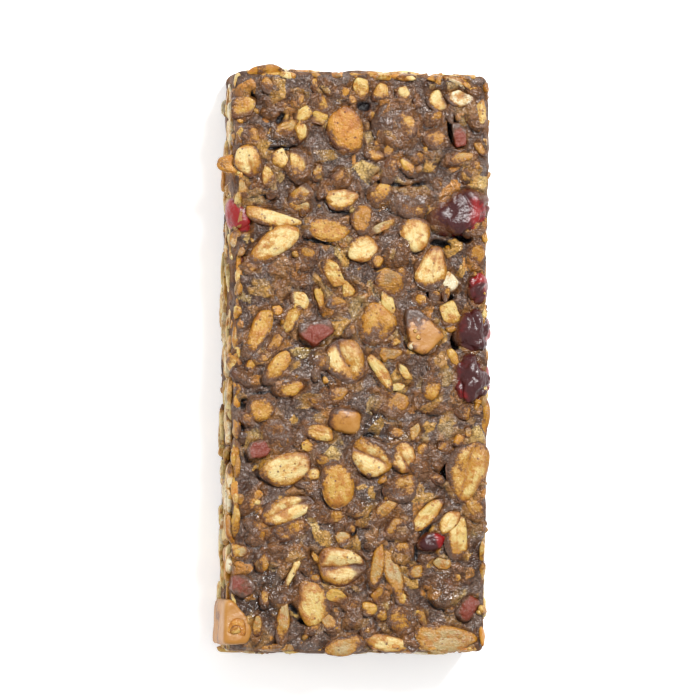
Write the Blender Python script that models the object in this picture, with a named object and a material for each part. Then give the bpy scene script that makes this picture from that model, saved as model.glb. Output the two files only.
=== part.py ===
"""A pressed snack bar: rolled oats, nut chips and dried fruit held in a dark brown binder.

The bar lies flat with its length along Y and its width along X. The pressed body, with every oat
and nut piece that shows, is one solid. Each dried berry, caramel chunk and fruit chip is a solid of
its own, seated in a pocket of the body with a small gap all round.
"""

import math

import bmesh
import bpy
import numpy as np

# Lengths are in millimetres until the meshes are written in metres.
METRES_PER_MM = 0.001

# Body
BAR_LENGTH = 100.0
BAR_WIDTH = 44.5
BAR_HEIGHT = 14.0
EDGE_RADIUS = 1.5
RELIEF_SPACING = 3.8
WALL_SPACING = 3.6
SWELL_CELL = 9.0
SWELL_HEIGHT = 0.45
LUMP_CELL = 4.0
LUMP_HEIGHT = 0.35
NOISE_LATTICE = 24
RELIEF_SEED = 11

# From the body's own frame, with zero under its middle, to the shared one: the box round all
# pieces is centred there
BODY_SHIFT = (1.29, -0.11, 0.0)

# Faces that bend less than this, in degrees, are joined before the last triangulation
FLAT_ANGLE = 2.0

# Pockets round the separate pieces
POCKET_GAP = 0.36

# How deep a fused piece reaches below the surface, as a share of its rise above it
ROOT_SHARE = 1.1
ROOT_LEAST = 0.7

# Crown of a piece above the binder: least height, and how much it grows with the width
RISE_LEAST = 0.42
RISE_PER_WIDTH = 0.11

# Seeded differences between the fused pieces
SHAPE_SEED = 5
FLAKE_CREASE = (0.1, 0.3)
FLAKE_TAPER = (0.0, 0.25)
CHIP_CORNER_SHIFT = (-0.25, 0.25)
CHIP_REACH = (0.84, 1.08)
CHIP_CROWN = (-0.2, 0.15)
CHIP_SLANT = (-0.25, 0.15)
TOP_LEAN = (-5.0, 5.0)
TOP_ROLL = (-6.0, 6.0)

# Materials: linear base colour, roughness
BODY_LOOK = ((0.290, 0.165, 0.075), 0.50)
BERRY_LOOK = ((0.110, 0.018, 0.022), 0.28)
CARAMEL_LOOK = ((0.530, 0.262, 0.090), 0.42)
FRUIT_LOOK = ((0.330, 0.100, 0.050), 0.50)

# Oat flakes on the top face: centre x, centre y, length, width, turn in degrees
OATS = (
    (-3.0, 40.1, 8.1, 5.9, 95), (6.0, 41.0, 7.9, 7.6, 100), (-20.0, 34.4, 5.2, 4.8, 100),
    (-15.8, 24.9, 9.2, 2.8, -12), (-15.4, 19.9, 10.0, 4.0, 33), (-6.0, 23.0, 7.9, 3.7, -4),
    (-3.6, 28.2, 5.5, 3.5, 5), (0.1, 19.7, 5.6, 4.4, 20), (9.2, 22.2, 6.0, 4.9, 95),
    (8.3, 28.0, 7.2, 5.4, 0), (0.1, 24.4, 5.2, 3.6, 80), (12.1, 16.3, 7.3, 5.0, 70),
    (2.7, 6.3, 6.7, 6.4, 60), (3.1, -1.8, 7.0, 2.2, -57), (12.5, -3.7, 6.0, 3.2, 78),
    (-18.4, 4.7, 9.3, 3.1, 66), (-14.7, -1.3, 6.4, 3.3, 50), (-2.7, 0.1, 7.9, 6.6, -70),
    (-14.7, -13.0, 5.8, 5.4, 80), (-12.8, -18.2, 8.9, 5.2, 14), (-4.1, -21.1, 8.4, 5.5, 100),
    (-12.8, -25.8, 9.7, 4.2, 20), (-12.5, -29.2, 6.9, 3.0, 20), (1.7, -16.5, 7.4, 6.0, -32),
    (7.4, -16.1, 5.7, 4.6, 108), (18.9, -18.7, 10.2, 6.6, 70), (7.2, -21.8, 6.4, 4.3, 15),
    (12.0, -26.3, 7.0, 2.7, 45), (15.6, -27.7, 4.9, 2.6, 52), (17.2, -30.3, 7.1, 3.6, 85),
    (-3.2, -35.3, 8.0, 6.5, -3), (-8.3, -41.6, 7.6, 5.6, -70), (5.8, -36.8, 7.8, 2.9, -73),
    (2.9, -35.1, 7.3, 2.3, 80), (7.4, -44.2, 5.8, 4.6, 100), (4.6, -48.3, 7.8, 2.8, -8),
    (15.1, -47.7, 10.0, 4.6, -3), (-13.4, -45.4, 7.9, 2.2, 85), (-2.4, -48.9, 6.9, 3.4, 15),
    (-17.4, -8.0, 4.9, 4.4, 20), (-7.6, -12.2, 6.1, 2.9, -15), (12.5, 38.5, 4.0, 3.4, 10),
)

# Nut chips, oat pieces and lumps on the top face, in the same order of numbers
CHIPS = (
    (-21.0, 43.9, 4.4, 4.0, 60), (-10.7, 42.7, 3.5, 3.1, 30), (-7.8, 42.0, 3.1, 2.3, -20),
    (-10.9, 39.6, 3.5, 2.1, 85), (-19.5, 38.7, 3.2, 3.0, 0), (-14.6, 34.6, 3.4, 3.1, 40),
    (-16.5, 31.8, 3.4, 2.6, 80), (-11.3, 33.9, 5.0, 3.8, 90), (-7.9, 32.7, 2.8, 1.6, 85),
    (-0.8, 47.3, 3.5, 3.2, 90), (3.2, 46.6, 3.4, 3.0, 0), (7.1, 46.6, 2.4, 2.0, 40),
    (13.2, 45.4, 3.6, 2.7, -50), (17.0, 46.0, 4.5, 2.3, -10), (17.2, 35.4, 5.5, 1.8, 18),
    (7.8, 34.1, 3.8, 2.1, -60), (2.2, 35.8, 3.3, 2.1, -15), (-10.7, 29.2, 4.4, 2.9, 40),
    (-11.3, 26.6, 3.7, 3.2, -10), (-20.9, 28.9, 4.5, 1.7, 92), (3.2, 23.2, 5.2, 1.8, 25),
    (-5.0, 14.9, 5.4, 3.1, -60), (-10.0, 17.8, 4.0, 3.4, 70), (-19.5, 16.1, 3.0, 2.2, 10),
    (-14.2, 12.5, 3.2, 2.1, -80), (-2.4, 12.2, 3.0, 2.4, 90), (-7.2, 10.6, 4.6, 1.6, -75),
    (-10.9, 10.4, 3.4, 2.6, -20), (5.1, 13.2, 4.8, 4.5, 0), (15.5, 14.2, 3.8, 2.9, 110),
    (15.6, 8.2, 4.6, 3.4, -60), (4.8, 9.9, 4.6, 1.9, -60), (16.0, 0.9, 3.6, 1.5, -60),
    (19.6, 23.2, 4.6, 2.4, 10), (20.3, 18.6, 4.4, 2.8, 80), (5.0, 1.3, 4.9, 2.2, -3),
    (7.4, -1.5, 3.4, 1.6, -60), (6.4, -4.2, 3.2, 1.6, 10), (-12.8, 6.5, 5.4, 2.3, 60),
    (-15.1, 3.0, 4.6, 2.6, 60), (-14.9, 8.6, 2.4, 2.1, 0), (-4.3, 9.4, 3.4, 3.6, 0),
    (-12.5, -4.4, 5.0, 2.8, 8), (-4.3, -5.6, 5.0, 2.9, 22), (-9.3, -14.9, 2.6, 2.3, 0),
    (-18.8, -24.1, 5.9, 2.1, 50), (-4.6, -26.8, 3.8, 2.2, 10), (-2.9, -30.6, 3.1, 2.8, 0),
    (9.5, -12.0, 3.3, 1.9, 75), (6.4, -12.1, 2.6, 2.0, 0), (4.3, -25.5, 5.0, 2.4, 42),
    (-0.8, -25.4, 3.1, 2.7, 0), (6.6, -28.4, 5.0, 3.8, 10), (-16.8, -34.2, 3.5, 2.3, 70),
    (9.5, -36.1, 2.5, 2.2, 0), (14.2, -34.9, 3.0, 2.1, -15), (14.8, -39.4, 5.2, 4.6, 90),
    (-4.1, -40.6, 4.6, 2.4, -20), (1.6, -42.5, 3.0, 2.5, 0), (11.0, -44.2, 3.4, 1.6, -70),
    (-17.9, -46.0, 4.3, 1.7, 88), (-12.0, -36.8, 4.9, 1.5, 66), (-20.8, -33.0, 2.7, 2.0, 0),
    (-17.8, -30.3, 3.2, 2.4, 30), (-10.7, 13.9, 2.6, 1.8, 20),
)

RIM_FLAKE_RISE = 0.6
RIM_FLAKE_CREASE = 0.1
RIM_FLAKE_TAPER = 0.1

# Flakes that cross the rim between the top and a wall: centre x, y, z, length, width, turn, lean
RIM_FLAKES = (
    (-17.0, 49.6, 13.4, 6.9, 3.4, 8, 35), (16.3, 48.6, 13.6, 4.8, 2.4, -20, 30),
    (20.4, 43.0, 13.7, 6.0, 2.6, 86, -20), (-22.6, 33.7, 13.0, 5.6, 3.4, 170, 20),
    (-21.8, 20.8, 13.2, 3.4, 2.4, 90, 20), (-21.6, 4.1, 13.2, 5.2, 2.4, 92, 30),
    (-21.8, -1.2, 12.9, 4.9, 2.6, -60, 35), (-21.5, -16.5, 13.2, 4.2, 2.4, 88, 25),
    (-22.0, -28.9, 12.4, 5.0, 3.4, 100, 30), (21.5, -9.2, 13.3, 7.4, 2.2, 92, -25),
    (21.3, -25.4, 13.2, 4.0, 2.2, 85, -25), (0.9, 49.3, 13.2, 4.0, 2.2, 5, 30),
    (-16.6, 40.1, 13.6, 3.6, 2.0, -60, 8), (20.2, 31.0, 13.4, 4.0, 2.4, 70, -15),
)

# Pieces that show on the wall at -X: y, z, length along Y, height, turn
LEFT_WALL = (
    (45.1, 8.0, 6.5, 3.6, 8), (39.6, 6.2, 4.6, 4.0, -30), (29.2, 8.4, 5.0, 5.4, 20),
    (20.8, 6.4, 6.4, 4.0, -15), (6.6, 7.8, 6.0, 6.8, 20), (-4.5, 7.4, 5.2, 3.4, -10),
    (-10.6, 7.6, 7.0, 4.2, 12), (-22.2, 9.4, 8.6, 2.8, -6), (-21.6, 4.4, 8.0, 3.0, 8),
    (-34.7, 7.6, 6.6, 4.6, 14), (-29.2, 5.2, 4.6, 3.6, -30), (0.6, 4.2, 5.0, 2.8, 5),
)

# Seeded pieces on the three walls that a view from above leaves out
WALL_SEED = 5
WALL_PITCH = 8.2
WALL_PIECE_LENGTH = (4.2, 7.6)
WALL_PIECE_HEIGHT = (2.4, 4.6)
WALL_PIECE_RISE = 0.5
WALL_PIECE_SIDES = 6
WALL_PIECE_LEVELS = (4.4, 9.0)
WALL_END_MARGIN = 4.0
WALL_SHIFT = (-1.6, 1.6)
WALL_LEVEL_SHIFT = (-0.8, 0.8)
WALL_PIECE_TURN = (-25, 25)

# Separate pieces: name, centre x, y, z, half sizes, turn about Z
BERRIES = (
    ("berry_left_rim", (-21.0, 24.6, 11.2), (3.2, 1.9, 2.9), -75),
    ("berry_upper_right", (16.9, 26.0, 12.4), (5.6, 3.6, 2.8), 22),
    ("berry_right_rim", (20.4, 13.0, 11.7), (3.2, 1.8, 2.4), 90),
    ("berry_right_upper", (19.4, 5.5, 11.9), (3.8, 2.9, 3.2), 88),
    ("berry_right_lower", (19.2, -2.9, 11.9), (4.3, 3.1, 3.2), 92),
    ("berry_lower_right", (12.7, -31.0, 12.9), (2.5, 1.5, 1.9), 22),
)
CARAMELS = (
    ("caramel_large", (10.5, 5.4, 12.6), (4.1, 3.1, 2.3), -50),
    ("caramel_middle", (-2.9, -10.1, 12.8), (2.9, 2.3, 1.8), -10),
    ("caramel_left_wall", (-20.4, 12.6, 7.0), (2.1, 3.5, 4.6), 0),
    ("caramel_corner", (-21.0, -45.0, 8.4), (3.0, 4.0, 6.0), 0),
)
FRUIT_CHIPS = (
    ("fruit_chip_middle", (-7.8, 4.7, 13.0), (2.8, 2.1, 1.8), 8),
    ("fruit_chip_left", (-17.9, -15.4, 13.0), (2.1, 2.0, 1.8), 5),
    ("fruit_chip_lower_left", (-20.2, -38.7, 12.6), (2.3, 1.8, 1.9), -40),
    ("fruit_chip_lower_right", (18.9, -42.5, 12.8), (2.4, 1.7, 1.8), 60),
    ("fruit_chip_left_rim", (-20.9, 16.9, 11.6), (1.6, 1.1, 1.5), 90),
    ("fruit_chip_hollow", (17.0, 39.5, 12.6), (2.4, 1.4, 1.6), 100),
)
LUMP_RINGS = 5
LUMP_SEGMENTS = 10
LUMP_SEED = 40

# How square a separate piece is (2 is an oval), and how uneven
BERRY_FORM = (2.2, 0.10)
CARAMEL_FORM = (3.4, 0.05)
FRUIT_FORM = (3.0, 0.09)

# Creases sharper than this, in degrees, shade as edges
BODY_SMOOTH = 40.0
PIECE_SMOOTH = 60.0


def noise(points, cell, seed):
    """Seeded values from -1 to 1 on a cubic lattice, blended smoothly between lattice points."""
    table = np.random.default_rng(seed).uniform(-1.0, 1.0, (NOISE_LATTICE,) * 3)
    scaled = np.asarray(points, float) / cell
    low = np.floor(scaled).astype(int)
    part = scaled - low
    part = part * part * (3.0 - 2.0 * part)
    total = np.zeros(len(scaled))
    for corner in np.ndindex(2, 2, 2):
        index = (low + corner) % NOISE_LATTICE
        weight = np.where(np.array(corner) == 1, part, 1.0 - part).prod(axis=1)
        total += weight * table[index[:, 0], index[:, 1], index[:, 2]]
    return total


def relief(points):
    """How far the body's surface stands out at these points, in swells and smaller lumps."""
    swells = SWELL_HEIGHT * noise(points, SWELL_CELL, RELIEF_SEED)
    return swells + LUMP_HEIGHT * noise(points, LUMP_CELL, RELIEF_SEED + 1)


def lattice_lines(half, spacing):
    """Positions along one side: the two ends, and even steps between the round edges."""
    flat = half - EDGE_RADIUS
    steps = round(2 * flat / spacing)
    return np.concatenate([[-half], np.linspace(-flat, flat, steps + 1), [half]])


def box_faces(counts):
    """The quads of a box's surface on an integer lattice, and that lattice's surface points."""
    quads = []
    for axis in range(3):
        u_axis = (axis + 1) % 3
        v_axis = (axis + 2) % 3
        u_index, v_index = np.meshgrid(
            np.arange(counts[u_axis] - 1), np.arange(counts[v_axis] - 1), indexing="ij"
        )
        for end in (0, counts[axis] - 1):
            corners = np.zeros((u_index.size, 4, 3), int)
            corners[:, :, axis] = end
            order = ((0, 0), (1, 0), (1, 1), (0, 1))
            if end == 0:
                order = order[::-1]
            for column, (du, dv) in enumerate(order):
                corners[:, column, u_axis] = u_index.ravel() + du
                corners[:, column, v_axis] = v_index.ravel() + dv
            quads.append(corners)
    quads = np.concatenate(quads)
    points, index = np.unique(quads.reshape(-1, 3), axis=0, return_inverse=True)
    return points, index.reshape(-1, 4)


def rounded_box():
    """Points, outward normals and quads of the pressed body before its relief."""
    half = np.array([BAR_WIDTH, BAR_LENGTH, BAR_HEIGHT]) / 2
    lines = [
        lattice_lines(half[0], RELIEF_SPACING),
        lattice_lines(half[1], RELIEF_SPACING),
        lattice_lines(half[2], WALL_SPACING),
    ]
    lattice, quads = box_faces([len(line) for line in lines])
    points = np.stack([lines[axis][lattice[:, axis]] for axis in range(3)], axis=1)
    inner = np.clip(points, EDGE_RADIUS - half, half - EDGE_RADIUS)
    normals = points - inner
    normals /= np.linalg.norm(normals, axis=1, keepdims=True)
    points = inner + EDGE_RADIUS * normals
    points[:, 2] += half[2]
    return points, normals, quads


def body_core():
    """The pressed binder: a round-edged block with swells and lumps, flat on its underside."""
    points, normals, quads = rounded_box()
    share = np.clip(points[:, 2] / EDGE_RADIUS, 0.0, 1.0)
    points += normals * (share * relief(points))[:, None]
    points[:, 2] = np.maximum(points[:, 2], 0.0)
    return points, quads.tolist()


def ring_solid(rings):
    """Faces of a closed solid from a top pole, equal rings from top to bottom, and a bottom pole."""
    count = len(rings[0])
    points = [rings[0].mean(axis=0)]
    for ring in rings[1:-1]:
        points.extend(ring)
    points.append(rings[-1].mean(axis=0))
    last = len(points) - 1
    faces = []
    for i in range(count):
        after = (i + 1) % count
        faces.append((0, 1 + i, 1 + after))
        for level in range(len(rings) - 3):
            upper = 1 + level * count
            lower = upper + count
            faces.append((upper + i, lower + i, lower + after, upper + after))
        base = 1 + (len(rings) - 3) * count
        faces.append((base + i, last, base + after))
    return np.array(points), faces


def flake(length, width, rise, crease, taper, segments):
    """An oat flake: an oval dome, narrower at one end, dented along its length, with a blunt root."""
    angle = np.linspace(0.0, 2 * math.pi, segments, endpoint=False)
    along = np.cos(angle)
    across = np.sin(angle) * (1.0 - taper * along)
    root = max(ROOT_LEAST, ROOT_SHARE * rise)
    shares = (0.0, 0.66, 1.0, 0.7, 0.0)
    levels = (1.0, 0.8, -0.1, -root / rise, -root / rise)
    rings = []
    for share, level in zip(shares, levels):
        x = share * along * length / 2
        y = share * across * width / 2
        z = np.full(segments, rise * level)
        if level > 0.3:
            z -= crease * rise * (1.0 - share)
            z -= 0.5 * crease * rise * share * (1.0 - np.abs(np.sin(angle)))
        rings.append(np.stack([x, y, z], axis=1))
    return ring_solid(rings)


def chip(length, width, rise, segments, rng):
    """A nut chip: a flat-topped lump with an uneven angular outline and a blunt root."""
    angle = np.linspace(0.0, 2 * math.pi, segments, endpoint=False)
    angle += rng.uniform(*CHIP_CORNER_SHIFT, segments)
    reach = rng.uniform(*CHIP_REACH, segments)
    root = max(ROOT_LEAST, ROOT_SHARE * rise)
    rings = []
    for share, level in ((0.0, 1.0), (0.72, 0.9), (1.0, -0.15), (0.0, -root / rise)):
        x = share * reach * np.cos(angle) * length / 2
        y = share * reach * np.sin(angle) * width / 2
        z = np.full(segments, rise * level)
        if level > 0.0:
            z += rise * rng.uniform(*CHIP_CROWN)
            z += rise * share * rng.uniform(*CHIP_SLANT, segments)
        rings.append(np.stack([x, y, z], axis=1))
    return ring_solid(rings)


def turned(points, turn, lean=0.0, roll=0.0):
    """Rolled about the piece's length, leaned about its width, then turned about its height."""
    turn, lean, roll = (math.radians(value) for value in (turn, lean, roll))
    about_x = np.array([
        [1, 0, 0], [0, math.cos(roll), -math.sin(roll)], [0, math.sin(roll), math.cos(roll)],
    ])
    about_y = np.array([
        [math.cos(lean), 0, math.sin(lean)], [0, 1, 0], [-math.sin(lean), 0, math.cos(lean)],
    ])
    about_z = np.array([
        [math.cos(turn), -math.sin(turn), 0], [math.sin(turn), math.cos(turn), 0], [0, 0, 1],
    ])
    return points @ (about_z @ about_y @ about_x).T


def on_wall(points, outward):
    """A piece drawn lying flat, stood on a wall: its x runs along the wall and its z outwards."""
    outward = np.array(outward, float)
    up = np.array([0.0, 0.0, 1.0])
    along = np.cross(up, outward)
    return points @ np.stack([along, up, outward])


def segment_count(length):
    """Sides of a piece's outline, by its size."""
    if length > 6.5:
        return 10
    return 8 if length > 4.5 else 6


def rise_of(width):
    """Height of a piece's crown above the binder."""
    return RISE_LEAST + RISE_PER_WIDTH * width


def top_pieces(rng):
    """The oat flakes and chips that the top face shows, each sunk into the relief below it."""
    made = []
    for x, y, length, width, turn in OATS:
        points, faces = flake(
            length, width, rise_of(width), rng.uniform(*FLAKE_CREASE), rng.uniform(*FLAKE_TAPER),
            segment_count(length),
        )
        made.append((points, faces, (x, y, turn)))
    for x, y, length, width, turn in CHIPS:
        points, faces = chip(length, width, rise_of(width), segment_count(length), rng)
        made.append((points, faces, (x, y, turn)))
    placed = []
    for points, faces, (x, y, turn) in made:
        points = turned(points, turn, rng.uniform(*TOP_LEAN), rng.uniform(*TOP_ROLL))
        height = BAR_HEIGHT + relief(np.array([[x, y, BAR_HEIGHT]]))[0]
        placed.append((points + (x, y, height), faces))
    return placed


def rim_pieces():
    """Flakes that lean over the rim, some of them reaching past the wall."""
    placed = []
    for x, y, z, length, width, turn, roll in RIM_FLAKES:
        points, faces = flake(
            length, width, RIM_FLAKE_RISE, RIM_FLAKE_CREASE, RIM_FLAKE_TAPER, segment_count(length)
        )
        placed.append((turned(points, turn, 0.0, roll) + (x, y, z), faces))
    return placed


def wall_layout():
    """Outward direction, centre, length, height and turn of each seeded piece on the walls."""
    rng = np.random.default_rng(WALL_SEED)
    half_width = BAR_WIDTH / 2
    half_length = BAR_LENGTH / 2
    walls = (
        ((1, 0, 0), half_width, half_length),
        ((0, 1, 0), half_length, half_width),
        ((0, -1, 0), half_length, half_width),
    )
    for outward, distance, reach in walls:
        outward = np.array(outward, float)
        along = np.cross((0.0, 0.0, 1.0), outward)
        span = reach - WALL_END_MARGIN
        for i in range(round(2 * span / WALL_PITCH)):
            shift = WALL_PITCH * (i + 0.5) - span + rng.uniform(*WALL_SHIFT)
            centre = outward * distance + along * shift
            centre[2] = WALL_PIECE_LEVELS[i % 2] + rng.uniform(*WALL_LEVEL_SHIFT)
            length = rng.uniform(*WALL_PIECE_LENGTH)
            height = rng.uniform(*WALL_PIECE_HEIGHT)
            yield outward, centre, length, height, rng.uniform(*WALL_PIECE_TURN)


def wall_pieces(rng):
    """Cut flakes and chips on the walls: by hand on the -X wall, by a seeded rule on the others."""
    left = np.array((-1.0, 0.0, 0.0))
    rows = [
        (left, np.array((-BAR_WIDTH / 2, y, z)), length, height, turn)
        for y, z, length, height, turn in LEFT_WALL
    ]
    placed = []
    for outward, centre, length, height, turn in rows + list(wall_layout()):
        points, faces = chip(length, height, WALL_PIECE_RISE, WALL_PIECE_SIDES, rng)
        placed.append((on_wall(turned(points, turn), outward) + centre, faces))
    return placed


def lump(half_sizes, power, roughness, seed, grow=0.0):
    """A chunk of fruit or caramel: a round-cornered block or an oval, uneven by seeded noise."""
    polar = np.linspace(0.0, math.pi, LUMP_RINGS + 2)
    angle = np.linspace(0.0, 2 * math.pi, LUMP_SEGMENTS, endpoint=False)
    rings = []
    for down in polar:
        ring = np.stack([
            math.sin(down) * np.cos(angle),
            math.sin(down) * np.sin(angle),
            np.full(LUMP_SEGMENTS, math.cos(down)),
        ], axis=1)
        size = np.array(half_sizes)
        reach = (np.abs(ring / size) ** power).sum(axis=1) ** (-1.0 / power)
        reach *= 1.0 + roughness * noise(ring * 2.0 + 7.0, 1.0, seed)
        rings.append(ring * (reach + grow)[:, None])
    return ring_solid(rings)


def mesh_object(name, points, faces):
    """A mesh object from points in millimetres in the body's own frame."""
    mesh = bpy.data.meshes.new(name)
    moved = (np.asarray(points) + BODY_SHIFT) * METRES_PER_MM
    mesh.from_pydata(moved.tolist(), [], faces)
    made = bpy.data.objects.new(name, mesh)
    bpy.context.scene.collection.objects.link(made)
    shape = bmesh.new()
    shape.from_mesh(mesh)
    bmesh.ops.recalc_face_normals(shape, faces=shape.faces)
    bmesh.ops.triangulate(shape, faces=shape.faces)
    shape.to_mesh(mesh)
    shape.free()
    return made


def combine(target, helpers, operation):
    """One Boolean on a collection of helpers, applied, with the helpers then removed."""
    group = bpy.data.collections.new("helpers")
    bpy.context.scene.collection.children.link(group)
    for helper in helpers:
        bpy.context.scene.collection.objects.unlink(helper)
        group.objects.link(helper)
    boolean = target.modifiers.new("combine", "BOOLEAN")
    boolean.operand_type = "COLLECTION"
    boolean.collection = group
    boolean.operation = operation
    boolean.solver = "MANIFOLD"
    bpy.context.view_layer.update()
    graph = bpy.context.evaluated_depsgraph_get()
    result = bpy.data.meshes.new_from_object(target.evaluated_get(graph))
    target.modifiers.clear()
    target.data = result
    for helper in helpers:
        bpy.data.objects.remove(helper)
    bpy.data.collections.remove(group)


def keep_largest_body(target):
    """Drops loose scraps and fills sealed hollows: only the largest connected surface stays."""
    shape = bmesh.new()
    shape.from_mesh(target.data)
    left = set(shape.verts)
    bodies = []
    while left:
        stack = [left.pop()]
        body = set(stack)
        while stack:
            for edge in stack.pop().link_edges:
                for vert in edge.verts:
                    if vert in left:
                        left.remove(vert)
                        body.add(vert)
                        stack.append(vert)
        bodies.append(body)
    bodies.sort(key=len)
    for body in bodies[:-1]:
        bmesh.ops.delete(shape, geom=list(body), context="VERTS")
    bmesh.ops.dissolve_limit(
        shape, angle_limit=math.radians(FLAT_ANGLE), verts=shape.verts, edges=shape.edges
    )
    bmesh.ops.triangulate(shape, faces=shape.faces)
    shape.to_mesh(target.data)
    shape.free()


def finish(target, look, smooth_angle):
    """Smooth shading up to an angle, and one material."""
    colour, roughness = look
    material = bpy.data.materials.new(target.name)
    material.use_nodes = True
    shader = material.node_tree.nodes["Principled BSDF"]
    shader.inputs["Base Color"].default_value = (*colour, 1.0)
    shader.inputs["Roughness"].default_value = roughness
    shader.inputs["Metallic"].default_value = 0.0
    target.data.materials.clear()
    target.data.materials.append(material)
    target.data.shade_smooth()
    target.data.set_sharp_from_angle(angle=math.radians(smooth_angle))


def separate_pieces():
    """Rows of name, points, faces, pocket points and look for the berries, caramel and fruit."""
    groups = (
        (BERRIES, BERRY_FORM, BERRY_LOOK),
        (CARAMELS, CARAMEL_FORM, CARAMEL_LOOK),
        (FRUIT_CHIPS, FRUIT_FORM, FRUIT_LOOK),
    )
    seed = LUMP_SEED
    rows = []
    for group, (power, roughness), look in groups:
        for name, centre, half_sizes, turn in group:
            seed += 1
            points, faces = lump(half_sizes, power, roughness, seed)
            pocket, _ = lump(half_sizes, power, roughness, seed, POCKET_GAP)
            rows.append((
                name, turned(points, turn) + centre, faces, turned(pocket, turn) + centre, look,
            ))
    return rows


def main():
    for old in list(bpy.data.objects):
        bpy.data.objects.remove(old)
    rng = np.random.default_rng(SHAPE_SEED)
    bar = mesh_object("bar", *body_core())
    fused = top_pieces(rng) + rim_pieces() + wall_pieces(rng)
    helpers = [mesh_object(f"piece_{i}", *piece) for i, piece in enumerate(fused)]
    combine(bar, helpers, "UNION")
    rows = separate_pieces()
    cutters = [mesh_object(f"pocket_{row[0]}", row[3], row[2]) for row in rows]
    combine(bar, cutters, "DIFFERENCE")
    keep_largest_body(bar)
    finish(bar, BODY_LOOK, BODY_SMOOTH)
    for name, points, faces, _, look in rows:
        finish(mesh_object(name, points, faces), look, PIECE_SMOOTH)


main()
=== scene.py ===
"""A pressed snack bar: the looks of its binder, oats, nut chips, berries, caramel and fruit chips.

Lengths are in millimetres in the bar's own frame until a mesh is written: the middle of the bar's
underside is zero, x runs across, y along and z up. Each mesh then moves by BODY_SHIFT into the
shared frame, in metres.
"""

import math
from collections import namedtuple

import bpy
import numpy as np
from mathutils import Matrix, Vector


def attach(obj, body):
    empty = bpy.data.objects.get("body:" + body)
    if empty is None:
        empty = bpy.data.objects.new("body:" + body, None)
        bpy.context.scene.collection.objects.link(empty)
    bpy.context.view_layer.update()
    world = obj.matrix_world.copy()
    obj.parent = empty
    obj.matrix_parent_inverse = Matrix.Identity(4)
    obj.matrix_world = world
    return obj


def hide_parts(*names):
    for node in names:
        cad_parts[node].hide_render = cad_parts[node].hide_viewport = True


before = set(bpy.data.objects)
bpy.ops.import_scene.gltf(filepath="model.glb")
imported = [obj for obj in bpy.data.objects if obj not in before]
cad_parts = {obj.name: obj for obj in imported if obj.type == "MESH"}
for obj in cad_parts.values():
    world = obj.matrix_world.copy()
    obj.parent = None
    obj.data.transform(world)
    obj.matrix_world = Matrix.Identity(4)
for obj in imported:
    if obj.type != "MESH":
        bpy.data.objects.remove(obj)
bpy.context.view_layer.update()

bl_info = {
    "name": "Snack Bar",
    "version": (1, 0, 0),
    "blender": (4, 5, 0),
    "location": "3D View > Sidebar > Snack Bar",
    "description": "Builds the looks of a pressed snack bar round its packed solids",
    "category": "Object",
}

METRES_PER_MM = 0.001

# The pressed body
BAR_LENGTH = 100.0
BAR_WIDTH = 44.5
BAR_HEIGHT = 14.0
HALF_WIDTH = BAR_WIDTH / 2
HALF_LENGTH = BAR_LENGTH / 2
EDGE_RADIUS = 1.5
BODY_SHIFT = (1.29, -0.11, 0.0)
UNDERSIDE_DENT = 0.5

# Spacing of the binder's mesh across and along the bar, and up the walls
FACE_SPACING = 0.345
WALL_SPACING = 0.5
# Where the mesh has lines in a round edge, as shares of its radius
EDGE_LINES = (0.0, 0.36, 0.7)

# Points along each side of the noise's lattice, after which it repeats
NOISE_LATTICE = 24

# Noises that stand a surface out, in rows of height, cell and seed: the body's swells and lumps,
# the binder's fine relief, and the lumps of each kind of piece
BODY_RELIEF = ((0.45, 9.0, 11), (0.35, 4.0, 12))
FINE_RELIEF = ((0.20, 2.1, 60), (0.11, 1.1, 61), (0.06, 0.7, 62))
FLAKE_LUMPS = ((0.22, 2.2, 80), (0.10, 1.1, 79))
CHIP_LUMPS = ((0.16, 1.5, 78), (0.08, 0.7, 82))
CARAMEL_LUMPS = ((0.22, 2.4, 94), (0.06, 0.9, 95))
FRUIT_LUMPS = ((0.28, 1.8, 98), (0.16, 0.7, 99))

# Seeds of the noises that wobble, dent, wet, mark or cover something
HOLLOW_NOISE = 31
SHARD_NOISE = 33
DENT_NOISE = 70
WET_NOISE = 71
EDGE_NOISE = 72
FIBRE_NOISE = 81
CHIP_STAIN_NOISE = 83
SMEAR_NOISE = 86
CRUMB_NOISE = 87
COVER_NOISE = 88
WALL_FRUIT_NOISE = 89
BERRY_FOLD_NOISE = 90
BERRY_WRINKLE_NOISE = 91
BERRY_SWELL_NOISE = 92
BERRY_STAIN_NOISE = 93
BERRY_WARP_NOISES = (101, 102, 103)

# Colours as they appear on the top face, red, green and blue from 0 to 255
TONES = {
    "white": (252, 240, 204),
    "cream": (252, 227, 160),
    "pale": (240, 212, 136),
    "golden": (226, 182, 94),
    "orange": (226, 164, 76),
    "olive": (200, 174, 122),
    "khaki": (172, 136, 88),
    "tan": (186, 142, 92),
    "brown": (140, 104, 72),
}
# How much more freckled some tones are
FRECKLES = {"golden": 0.14, "orange": 0.20, "pale": 0.02}
# The stage's light on a level face: a colour as it appears is that many times its material's own
LIGHT_LEVEL = 1.72
# What a surface's shine adds to its appearing colour
SHEEN = 0.035

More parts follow.
